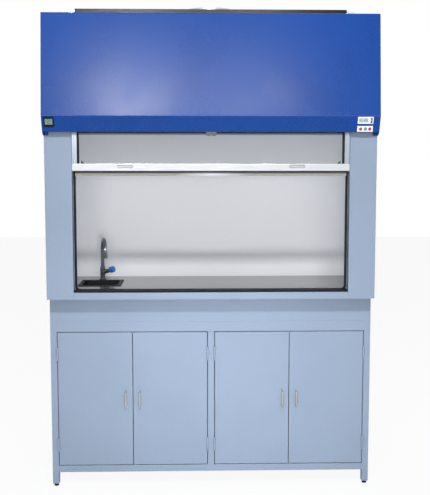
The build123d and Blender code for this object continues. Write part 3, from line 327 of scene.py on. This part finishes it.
side_x, back_y = 0.749, 0.4235
front_rivets_y, rear_rivets_y = -0.239, 0.410
low_rivets_z, high_rivets_z = 0.955, 2.135
rivet_rows = 8
rivet_rise = (high_rivets_z - low_rivets_z) / (rivet_rows - 1)
for side, way in (("left", -1), ("right", 1)):
    spots = [
        ((way * side_x, y, low_rivets_z + row * rivet_rise), (way, 0, 0))
        for y in (front_rivets_y, rear_rivets_y) for row in range(rivet_rows)
    ]
    fixings("panel_rivets_" + side, "hood", body_paint, spots, 0.004, 0.0008, 0.0011)


# The canopy: one folded blue sheet between two cheeks, with a smoother, glossier coat than the body. Along
# the fold the coat is painted paler: a painted highlight where the fold catches the light.
canopy_colour = (0.0015, 0.046, 0.255)
fold_z, fold_reach, fold_highlight_lift = 1.7310, 0.0014, 0.16
canopy_paint = paint("canopy_paint", canopy_colour, 0.28, 0.06, 0.25)
tree = canopy_paint.node_tree
shader = tree.nodes["Principled BSDF"]
place = add_node(tree, "ShaderNodeTexCoord")
parts = add_node(tree, "ShaderNodeSeparateXYZ", {0: place.outputs["Object"]})
from_fold = add_node(tree, "ShaderNodeMath", {0: parts.outputs["Z"], 1: fold_z}, operation="SUBTRACT")
from_fold = add_node(tree, "ShaderNodeMath", {0: from_fold.outputs[0]}, operation="ABSOLUTE")
# Painted highlight: a thin paler line of colour along the fold.
fold_highlight = add_node(tree, "ShaderNodeMapRange", {
    "Value": from_fold.outputs[0], "From Min": fold_reach, "From Max": 0.0, "To Min": 0.0, "To Max": fold_highlight_lift,
})
coated = shader.inputs["Base Color"].links[0].from_socket
wear_and_fold_highlight = add_node(tree, "ShaderNodeMix", {
    "Factor": fold_highlight.outputs[0], "A": coated, "B": (0.55, 0.62, 0.80, 1),
}, data_type="RGBA")
tree.links.new(wear_and_fold_highlight.outputs["Result"], shader.inputs["Base Color"])
finish_nodes(canopy_paint, "canopy")


# The chamber lining: white laminate sheets with a glossy face, on the sides, back, ceiling and baffles.
sheen, entry, leave = start_group(
    "smooth_sheet",
    [("Colour", "NodeSocketColor", (0.8, 0.8, 0.8, 1)), ("Roughness", "NodeSocketFloat", 0.15),
     ("Haze", "NodeSocketFloat", 0.05)],
    [("Colour", "NodeSocketColor"), ("Roughness", "NodeSocketFloat"), ("Height", "NodeSocketFloat")],
)
place = add_node(sheen, "ShaderNodeTexCoord")
wide = add_node(sheen, "ShaderNodeTexNoise", {"Vector": place.outputs["Object"], "Scale": 1.7, "Detail": 3.0})
fine = add_node(sheen, "ShaderNodeTexNoise", {"Vector": place.outputs["Object"], "Scale": 45.0, "Detail": 4.0})
change = add_node(sheen, "ShaderNodeMath", {0: wide.outputs["Fac"], 1: 0.5}, operation="SUBTRACT")
change = add_node(sheen, "ShaderNodeMath", {0: change.outputs[0], 1: entry.outputs["Haze"]}, operation="MULTIPLY")
gain = add_node(sheen, "ShaderNodeMath", {0: change.outputs[0], 1: 1.0}, operation="ADD")
toned = add_node(sheen, "ShaderNodeVectorMath", {0: entry.outputs["Colour"]}, operation="SCALE")
sheen.links.new(gain.outputs[0], toned.inputs["Scale"])
smear = add_node(sheen, "ShaderNodeMath", {0: fine.outputs["Fac"], 1: entry.outputs["Haze"]}, operation="MULTIPLY")
rough = add_node(sheen, "ShaderNodeMath", {0: smear.outputs[0], 1: entry.outputs["Roughness"]}, operation="ADD")
sheen.links.new(toned.outputs[0], leave.inputs["Colour"])
sheen.links.new(rough.outputs[0], leave.inputs["Roughness"])
sheen.links.new(fine.outputs["Fac"], leave.inputs["Height"])


def smooth(name, colour, roughness, haze, bump=0.03, shine=0.5):
    made, shader = start_material(name)
    use_group(made, shader, sheen, bump, 0.001, Colour=(*colour, 1), Roughness=roughness, Haze=haze)
    shader.inputs["Specular IOR Level"].default_value = shine
    return made


liner_white = smooth("liner_white", (0.86, 0.87, 0.91), 0.14, 0.08)
finish_nodes(liner_white, "liner_panels", "ceiling", "baffle_plates")

baffle_y, cap_reach, cap_low, cap_high = 0.268, 0.6617, 0.990, 1.890
cap_spots = [((x, baffle_y, z), (0, -1, 0)) for x in (-cap_reach, 0, cap_reach) for z in (cap_low, cap_high)]
fixings("baffle_caps", "hood", liner_white, cap_spots, 0.005, 0.0015, 0.0015)


# The worktop: a dark cast slab, polished, with fine flecks. It mirrors the white wall behind it.
worktop_dark, shader = start_material("worktop_dark")
tree = worktop_dark.node_tree
place = add_node(tree, "ShaderNodeTexCoord")
flecks = add_node(tree, "ShaderNodeTexVoronoi", {"Vector": place.outputs["Object"], "Scale": 420.0})
fleck = add_node(tree, "ShaderNodeMapRange", {"Value": flecks.outputs["Distance"], "From Min": 0.06, "From Max": 0.2, "To Min": 1.0, "To Max": 0.0})
cast = add_node(tree, "ShaderNodeTexNoise", {"Vector": place.outputs["Object"], "Scale": 30.0, "Detail": 6.0})
mass = add_node(tree, "ShaderNodeMix", {"Factor": cast.outputs["Fac"], "A": (0.045, 0.042, 0.043, 1), "B": (0.085, 0.08, 0.082, 1)}, data_type="RGBA")
tone = add_node(tree, "ShaderNodeMix", {"Factor": fleck.outputs[0], "A": mass.outputs["Result"], "B": (0.20, 0.19, 0.19, 1)}, data_type="RGBA")
tree.links.new(tone.outputs["Result"], shader.inputs["Base Color"])
rough = add_node(tree, "ShaderNodeMapRange", {"Value": cast.outputs["Fac"], "To Min": 0.07, "To Max": 0.15})
tree.links.new(rough.outputs[0], shader.inputs["Roughness"])
finish_nodes(worktop_dark, "worktop")


# Rubber: the bead round the opening with its landing strip, and the pads of the feet are black. The stops
# under the canopy are grey.
rubber_black = smooth("rubber_black", (0.008, 0.009, 0.013), 0.5, 0.25, 0.15, 0.2)
finish_nodes(rubber_black, "opening_seal", *[n for n in nodes if n.startswith("foot_")])
finish_nodes(smooth("stop_grey", (0.27, 0.30, 0.30), 0.5, 0.25, 0.15, 0.3), "sash_bumpers")

# A black strip on the header's front, behind the pane, is painted shade: it stands for the shadow in the gap under the
# canopy's edge.
strip_x, strip_low, strip_high, strip_front, header_front = 0.6265, 1.6570, 1.6690, -0.3155, -0.3140
points = [
    (x, y, z) for z in (strip_low, strip_high)
    for x, y in ((-strip_x, strip_front), (strip_x, strip_front), (strip_x, header_front), (-strip_x, header_front))
]
faces = [(0, 3, 2, 1), (4, 5, 6, 7), (0, 1, 5, 4), (1, 2, 6, 5), (2, 3, 7, 6), (3, 0, 4, 7)]
new_piece("header_shade_strip", "hood", points, faces, rubber_black)


# The sash's seals are one moulding each: the glazing gasket is black, and the lip under the bar has a
# black root and a grey blade, painted paler towards its middle: a painted highlight of the glare on it.
sash_rubber, shader = start_material("sash_rubber")
tree = sash_rubber.node_tree
place = add_node(tree, "ShaderNodeTexCoord")
parts = add_node(tree, "ShaderNodeSeparateXYZ", {0: place.outputs["Object"]})
blade_top, blade_blend = 1.4800, 0.0006
blade = add_node(tree, "ShaderNodeMapRange", {
    "Value": parts.outputs["Z"], "From Min": blade_top, "From Max": blade_top + blade_blend,
})
off_middle = add_node(tree, "ShaderNodeMath", {0: parts.outputs["X"]}, operation="ABSOLUTE")
middle = add_node(tree, "ShaderNodeMapRange", {"Value": off_middle.outputs[0], "From Min": 0.01, "From Max": 0.16})
grain = add_node(tree, "ShaderNodeTexNoise", {"Vector": place.outputs["Object"], "Scale": 55.0, "Detail": 4.0})
grey = add_node(tree, "ShaderNodeMix", {
    "Factor": grain.outputs["Fac"], "A": (0.26, 0.25, 0.235, 1), "B": (0.34, 0.33, 0.31, 1),
}, data_type="RGBA")
# Painted highlight: the blade's grey turns pale towards its middle.
grey = add_node(tree, "ShaderNodeMix", {
    "Factor": middle.outputs[0], "A": (0.58, 0.59, 0.63, 1), "B": grey.outputs["Result"],
}, data_type="RGBA")
tone = add_node(tree, "ShaderNodeMix", {
    "Factor": blade.outputs[0], "A": grey.outputs["Result"], "B": (0.012, 0.012, 0.013, 1),
}, data_type="RGBA")
tree.links.new(tone.outputs["Result"], shader.inputs["Base Color"])
rough = add_node(tree, "ShaderNodeMapRange", {"Value": grain.outputs["Fac"], "To Min": 0.42, "To Max": 0.62})
tree.links.new(rough.outputs[0], shader.inputs["Roughness"])
relief = add_node(tree, "ShaderNodeBump", {"Height": grain.outputs["Fac"], "Strength": 0.15, "Distance": 0.0005})
tree.links.new(relief.outputs[0], shader.inputs["Normal"])
shader.inputs["Specular IOR Level"].default_value = 0.2
finish_nodes(sash_rubber, "sash_seals")


# The sash frame: satin anodised bar, stiles and guides with drawn lines along them, a black top rail.
drawn, entry, leave = start_group(
    "drawn_metal",
    [("Colour", "NodeSocketColor", (0.8, 0.8, 0.8, 1)), ("Roughness", "NodeSocketFloat", 0.3),
     ("Along", "NodeSocketVector", (1, 1, 1)), ("Line depth", "NodeSocketFloat", 0.1)],
    [("Colour", "NodeSocketColor"), ("Roughness", "NodeSocketFloat"), ("Height", "NodeSocketFloat")],
)
place = add_node(drawn, "ShaderNodeTexCoord")
pulled = add_node(drawn, "ShaderNodeVectorMath", {0: place.outputs["Object"], 1: entry.outputs["Along"]}, operation="MULTIPLY")
lines = add_node(drawn, "ShaderNodeTexNoise", {"Vector": pulled.outputs[0], "Scale": 420.0, "Detail": 3.0})
change = add_node(drawn, "ShaderNodeMath", {0: lines.outputs["Fac"], 1: 0.5}, operation="SUBTRACT")
change = add_node(drawn, "ShaderNodeMath", {0: change.outputs[0], 1: entry.outputs["Line depth"]}, operation="MULTIPLY")
gain = add_node(drawn, "ShaderNodeMath", {0: change.outputs[0], 1: 1.0}, operation="ADD")
toned = add_node(drawn, "ShaderNodeVectorMath", {0: entry.outputs["Colour"]}, operation="SCALE")
drawn.links.new(gain.outputs[0], toned.inputs["Scale"])
rough = add_node(drawn, "ShaderNodeMath", {0: change.outputs[0], 1: entry.outputs["Roughness"]}, operation="ADD", use_clamp=True)
drawn.links.new(toned.outputs[0], leave.inputs["Colour"])
drawn.links.new(rough.outputs[0], leave.inputs["Roughness"])
drawn.links.new(lines.outputs["Fac"], leave.inputs["Height"])


def metal(name, colour, roughness, along, depth=0.25):
    made, shader = start_material(name)
    values = {"Colour": (*colour, 1), "Roughness": roughness, "Along": along, "Line depth": depth}
    use_group(made, shader, drawn, 0.05, 0.0004, **values)
    shader.inputs["Metallic"].default_value = 1.0
    return made


across, upright, even = (0.02, 1, 1), (1, 1, 0.02), (1, 1, 1)
finish_nodes(metal("alloy_bar", (0.75, 0.77, 0.80), 0.24, across), "sash_bar")
finish_nodes(metal("alloy_upright", (0.43, 0.49, 0.57), 0.30, upright), "sash_stiles", "sash_guides")
finish_nodes(metal("alloy_black", (0.02, 0.02, 0.022), 0.3, across), "sash_top_rail")


# The finger pulls are pressed cups let into the bar: their rim and the top and bottom of the cup are painted dark,
# painted shade at the edges of the recess, and the rest of the inside is pale.
pull_metal, shader = start_material("pull_metal")
tree = pull_metal.node_tree
place = add_node(tree, "ShaderNodeTexCoord")
parts = add_node(tree, "ShaderNodeSeparateXYZ", {0: place.outputs["Object"]})
cup_front, cup_middle_z, cup_half, cup_blend = -0.3621, 1.5086, 0.0044, 0.0003
behind = add_node(tree, "ShaderNodeMapRange", {
    "Value": parts.outputs["Y"], "From Min": cup_front, "From Max": cup_front + cup_blend,
})
off_middle = add_node(tree, "ShaderNodeMath", {0: parts.outputs["Z"], 1: cup_middle_z}, operation="SUBTRACT")
off_middle = add_node(tree, "ShaderNodeMath", {0: off_middle.outputs[0]}, operation="ABSOLUTE")
floor_part = add_node(tree, "ShaderNodeMapRange", {
    "Value": off_middle.outputs[0], "From Min": cup_half + cup_blend, "From Max": cup_half,
})
inside = add_node(tree, "ShaderNodeMath", {0: behind.outputs[0], 1: floor_part.outputs[0]}, operation="MULTIPLY")
brush = add_node(tree, "ShaderNodeTexNoise", {"Vector": place.outputs["Object"], "Scale": 240.0, "Detail": 3.0})
# Painted shade: the rim and the top and bottom edges of the cup are darkened.
pull_edge_shade = add_node(tree, "ShaderNodeMix", {
    "Factor": brush.outputs["Fac"], "A": (0.20, 0.19, 0.21, 1), "B": (0.30, 0.29, 0.31, 1),
}, data_type="RGBA")
tone = add_node(tree, "ShaderNodeMix", {
    "Factor": inside.outputs[0], "A": pull_edge_shade.outputs["Result"], "B": (0.86, 0.87, 0.88, 1),
}, data_type="RGBA")
tree.links.new(tone.outputs["Result"], shader.inputs["Base Color"])
rough = add_node(tree, "ShaderNodeMapRange", {"Value": brush.outputs["Fac"], "To Min": 0.25, "To Max": 0.4})
tree.links.new(rough.outputs[0], shader.inputs["Roughness"])
shader.inputs["Metallic"].default_value = 0.4
finish_nodes(pull_metal, "finger_pulls")


# The pane: clear toughened glass in its gasket, faintly smeared. Two small dark green wedges hold it on
# the bar.
pane_glass, shader = start_material("pane_glass")
tree = pane_glass.node_tree
place = add_node(tree, "ShaderNodeTexCoord")
smears = add_node(tree, "ShaderNodeTexNoise", {"Vector": place.outputs["Object"], "Scale": 5.0, "Detail": 6.0})
clean = add_node(tree, "ShaderNodeMapRange", {
    "Value": smears.outputs["Fac"], "From Min": 0.55, "From Max": 0.9, "To Min": 0.0, "To Max": 0.04,
})
tree.links.new(clean.outputs[0], shader.inputs["Roughness"])
tint = add_node(tree, "ShaderNodeMix", {
    "Factor": smears.outputs["Fac"], "A": (0.90, 0.92, 0.925, 1), "B": (0.94, 0.96, 0.965, 1),
}, data_type="RGBA")
tree.links.new(tint.outputs["Result"], shader.inputs["Base Color"])
shader.inputs["Transmission Weight"].default_value = 1.0
shader.inputs["IOR"].default_value = 1.5
finish_nodes(pane_glass, "sash_glass")

wedge_green = smooth("wedge_green", (0.015, 0.085, 0.065), 0.35, 0.2, 0.1)
wedge_x, wedge_long, wedge_low, wedge_high, wedge_foot = 0.587, 0.013, 1.5215, 1.5355, 0.004
wedge_front, wedge_rear = -0.3468, -0.3440
for side, way in (("left", -1), ("right", 1)):
    outer, inner = way * wedge_x, way * (wedge_x - wedge_long)
    outline = [(outer, wedge_low), (inner, wedge_low), (inner, wedge_low + wedge_foot), (outer, wedge_high)]
    points = [(x, y, z) for y in (wedge_front, wedge_rear) for x, z in outline]
    faces = [(0, 1, 2, 3), (7, 6, 5, 4), (1, 0, 4, 5), (2, 1, 5, 6), (3, 2, 6, 7), (0, 3, 7, 4)]
    if way > 0:
        faces = [face[::-1] for face in faces]
    new_piece("glass_wedge_" + side, "sash", points, faces, wedge_green)


# The sash hangs on two steel cables of three twisted strands. Each goes from the bar up over its pulley
# and down to the weight in the post.
plated = metal("plated_steel", (0.60, 0.61, 0.62), 0.35, even)
pulley_x, pulley_z, cable_y, cable_turn = 0.680, 2.120, -0.336, 0.028
cable_radius, strand_depth, strand_pitch, ring_corners, ring_step = 0.0015, 0.13, 0.022, 12, 0.003
bar_end_z, weight_end_z = 1.5155, 1.550


def cable_piece(name, route):
    """A rope with three twisted strands along places and directions in the XZ plane."""
    points, faces, along = [], [], 0.0
    for index, (place, way) in enumerate(route):
        if index:
            along += (place - route[index - 1][0]).length
        across = Vector((way.z, 0, -way.x))
        for corner in range(ring_corners):
            turn = 2 * math.pi * corner / ring_corners
            lobe = math.cos(3 * (turn - 2 * math.pi * along / strand_pitch))
            radius = cable_radius * (1 - strand_depth + strand_depth * lobe)
            points.append(place + radius * (math.cos(turn) * across + math.sin(turn) * Vector((0, 1, 0))))
    for index in range(len(route) - 1):
        for corner in range(ring_corners):
            a, b = index * ring_corners + corner, index * ring_corners + (corner + 1) % ring_corners
            faces.append((a, b, b + ring_corners, a + ring_corners))
    last = (len(route) - 1) * ring_corners
    faces.append(tuple(range(ring_corners - 1, -1, -1)))
    faces.append(tuple(range(last, last + ring_corners)))
    mesh = bpy.data.meshes.new(name)
    mesh.from_pydata(points, [], faces)
    mesh.materials.append(plated)
    piece = bpy.data.objects.new(name, mesh)
    bpy.context.scene.collection.objects.link(piece)
    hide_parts("cables")
    return piece


def straight(x, low, high):
    count = round((high - low) / ring_step)
    return [(Vector((x, cable_y, low + (high - low) * n / count)), Vector((0, 0, 1))) for n in range(count + 1)]


for side, way in (("left", -1), ("right", 1)):
    inner_x, outer_x = way * (pulley_x - cable_turn), way * (pulley_x + cable_turn)
    run = cable_piece("cable_bar_run_" + side, straight(inner_x, bar_end_z, pulley_z))
    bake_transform(run)
    run = cable_piece("cable_weight_run_" + side, straight(outer_x, weight_end_z, pulley_z))
    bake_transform(run)
    steps = round(math.pi * cable_turn / ring_step)
    arc = []
    for n in range(steps + 1):
        turn = math.pi * n / steps
        out, up = -way * math.cos(turn), math.sin(turn)
        place = Vector((way * pulley_x + cable_turn * out, cable_y, pulley_z + cable_turn * up))
        arc.append((place, Vector((way * math.sin(turn), 0, math.cos(turn)))))
    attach(cable_piece("cable_arc_" + side, arc), "hood")


# The balance: brackets bent from plated strip, moulded pulleys and cast weights.
finish_nodes(plated, "pulley_brackets", "exhaust_collar")
finish_nodes(smooth("pulley_nylon", (0.6, 0.6, 0.57), 0.45, 0.1), "pulley_left", "pulley_right")
finish_nodes(metal("weight_iron", (0.16, 0.16, 0.17), 0.6, even, 0.4), "counterweight_left", "counterweight_right")


# The exhaust collar is spun from plated sheet, and eight screws hold its flange on the roof. Six screws
# hold the cabinet's back.
collar = nodes["exhaust_collar"]
collar_y, screw_circle, collar_screws = 0.036, 0.138, 8
flange_z = max(
    corner.co.z for corner in collar.data.vertices
    if math.hypot(corner.co.x, corner.co.y - collar_y) > screw_circle
)
spots = []
for n in range(collar_screws):
    turn = 2 * math.pi * (n + 0.5) / collar_screws
    spots.append(((screw_circle * math.cos(turn), collar_y + screw_circle * math.sin(turn), flange_z), (0, 0, 1)))
fixings("collar_screws", "hood", plated, spots, 0.0055, 0.0032, 0.0025)
back_screws = [((x, back_y, z), (0, 1, 0)) for x in (-0.66, 0.0, 0.66) for z in (0.16, 0.62)]
fixings("back_screws", "hood", plated, back_screws, 0.0048, 0.0014, 0.0022)


# The door handles are bent bright rod, chromed and polished. Two screws hold each from inside its door.
chrome = metal("chrome_plate", (0.60, 0.60, 0.61), 0.14, even, 0.1)
finish_nodes(chrome, *["handle_" + name for name in door_names])

door_back_y, handle_screw_z = -0.2845, (0.3805, 0.4600)
handle_x = {"left_bay_left": -0.3995, "left_bay_right": -0.3345, "right_bay_left": 0.3345, "right_bay_right": 0.3995}
for name, x in handle_x.items():
    spots = [((x, door_back_y, z), (0, 1, 0)) for z in handle_screw_z]
    fixings("handle_screws_" + name, "door_" + name, plated, spots, 0.0045, 0.003, 0.002)


# The tap: turned body and bent gooseneck with a satin finish, and a fluted blue knob.
finish_nodes(metal("tap_metal", (0.24, 0.26, 0.28), 0.27, even, 0.15), "tap_body", "tap_spout")
finish_nodes(smooth("knob_blue", (0.03, 0.16, 0.50), 0.25, 0.1), "tap_knob")


# The sink is a black moulding dropped into the worktop.
finish_nodes(smooth("sink_black", (0.010, 0.011, 0.015), 0.45, 0.2, 0.1, 0.15), "sink")


# The chamber's lamp: a white tray with an opal diffuser under the ceiling. The catches are white too.
plate_white = smooth("plate_white", (0.82, 0.82, 0.82), 0.3, 0.05)
finish_nodes(plate_white, "display_plate", "control_plate", "lamp", "door_catches")
finish_nodes(smooth("diffuser_white", (0.86, 0.87, 0.88), 0.4, 0.05), "lamp_diffuser")


# The meter and the two plates in the canopy's band. The displays are grey-green behind their windows,
# with dark figures of seven bars each, and red ones at the left of the display plate.
finish_nodes(smooth("meter_black", (0.008, 0.008, 0.010), 0.4, 0.2, 0.1, 0.15), "panel_meter")
finish_nodes(smooth("key_dark", (0.03, 0.045, 0.08), 0.45, 0.2, 0.1), "key_upper", "key_lower")
finish_nodes(smooth("button_red", (0.50, 0.03, 0.06), 0.25, 0.1), "button_left", "button_right")
button_teal = smooth("button_teal", (0.06, 0.30, 0.34), 0.25, 0.1)
finish_nodes(button_teal, "button_middle")

screen_glass, shader = start_material("screen_glass")
tree = screen_glass.node_tree
place = add_node(tree, "ShaderNodeTexCoord")
parts = add_node(tree, "ShaderNodeSeparateXYZ", {0: place.outputs["Object"]})
which = add_node(tree, "ShaderNodeMath", {0: parts.outputs["X"], 1: 0.0}, operation="GREATER_THAN")
glow = add_node(tree, "ShaderNodeTexNoise", {"Vector": place.outputs["Object"], "Scale": 60.0, "Detail": 3.0})
meter_tone = add_node(tree, "ShaderNodeMix", {
    "Factor": glow.outputs["Fac"], "A": (0.15, 0.23, 0.22, 1), "B": (0.22, 0.31, 0.30, 1),
}, data_type="RGBA")
display_tone = add_node(tree, "ShaderNodeMix", {
    "Factor": glow.outputs["Fac"], "A": (0.38, 0.56, 0.55, 1), "B": (0.50, 0.66, 0.65, 1),
}, data_type="RGBA")
tone = add_node(tree, "ShaderNodeMix", {
    "Factor": which.outputs[0], "A": meter_tone.outputs["Result"], "B": display_tone.outputs["Result"],
}, data_type="RGBA")
tree.links.new(tone.outputs["Result"], shader.inputs["Base Color"])
rough = add_node(tree, "ShaderNodeMapRange", {"Value": glow.outputs["Fac"], "To Min": 0.1, "To Max": 0.2})
tree.links.new(rough.outputs[0], shader.inputs["Roughness"])
finish_nodes(screen_glass, "display_screens")

band_up, band_out = Vector((0, -0.3599, 0.9330)), Vector((0, -0.9330, -0.3599))
bar_relief = 0.00015
lit_bars = {
    "0": "abcdef", "1": "bc", "2": "abged", "3": "abgcd", "4": "fgbc", "5": "afgcd", "6": "afgedc", "7": "abc",
    "8": "abcdefg",
}


def figures(name, text, finish, middle_x, middle_up, height):
    """Seven-bar figures on the window under that place, the middle of the text at its middle."""
    window = [v.co for v in nodes["display_screens"].data.vertices if (v.co.x > 0) == (middle_x > 0)]
    lift = max(co.dot(band_out) for co in window) + bar_relief
    sunk = lift - 2 * bar_relief
    width, bar = height * 0.5, height * 0.13
    pitch = width * 1.45
    ends = {
        "a": ((0, 1), (1, 1)), "b": ((1, 1), (1, 0.5)), "c": ((1, 0.5), (1, 0)), "d": ((0, 0), (1, 0)),
        "e": ((0, 0.5), (0, 0)), "f": ((0, 1), (0, 0.5)), "g": ((0, 0.5), (1, 0.5)),
    }
    points, faces = [], []
    for place, figure in enumerate(text):
        left = middle_x + (place - (len(text) - 1) / 2) * pitch - width / 2
        for letter in lit_bars[figure]:
            (u0, v0), (u1, v1) = ends[letter]
            start = Vector((left + u0 * width, middle_up + (v0 - 0.5) * height))
            end = Vector((left + u1 * width, middle_up + (v1 - 0.5) * height))
            along = (end - start).normalized()
            across = Vector((-along.y, along.x)) * bar / 2
            start, end = start + along * bar * 0.15, end - along * bar * 0.15
            shoulder = along * bar / 2
            outline = [start, start + shoulder - across, end - shoulder - across, end,
                       end - shoulder + across, start + shoulder + across]
            first = len(points)
            for level in (lift, sunk):
                points += [Vector((p.x, 0, 0)) + band_up * p.y + band_out * level for p in outline]
            faces.append(tuple(range(first, first + 6)))
            faces.append(tuple(range(first + 11, first + 5, -1)))
            for n in range(6):
                m = (n + 1) % 6
                faces.append((first + m, first + n, first + 6 + n, first + 6 + m))
    new_piece(name, "hood", points, faces, finish)


def window_middle(right):
    window = [v.co for v in nodes["display_screens"].data.vertices if (v.co.x > 0) == right]
    across, up = [co.x for co in window], [co.dot(band_up) for co in window]
    return (min(across) + max(across)) / 2, (min(up) + max(up)) / 2


figure_dark = smooth("figure_dark", (0.035, 0.06, 0.06), 0.4, 0.1)
figure_red = smooth("figure_red", (0.42, 0.06, 0.14), 0.4, 0.1)
meter_x, meter_up = window_middle(False)
display_x, display_up = window_middle(True)
figures("meter_figures_upper", "053", figure_dark, meter_x, meter_up + 0.006, 0.011)
figures("meter_figures_lower", "1250", figure_dark, meter_x, meter_up - 0.008, 0.0065)
figures("display_figures_red", "88", figure_red, display_x - 0.0135, display_up, 0.0105)
figures("display_figures_dark", "125", figure_dark, display_x + 0.006, display_up, 0.0115)
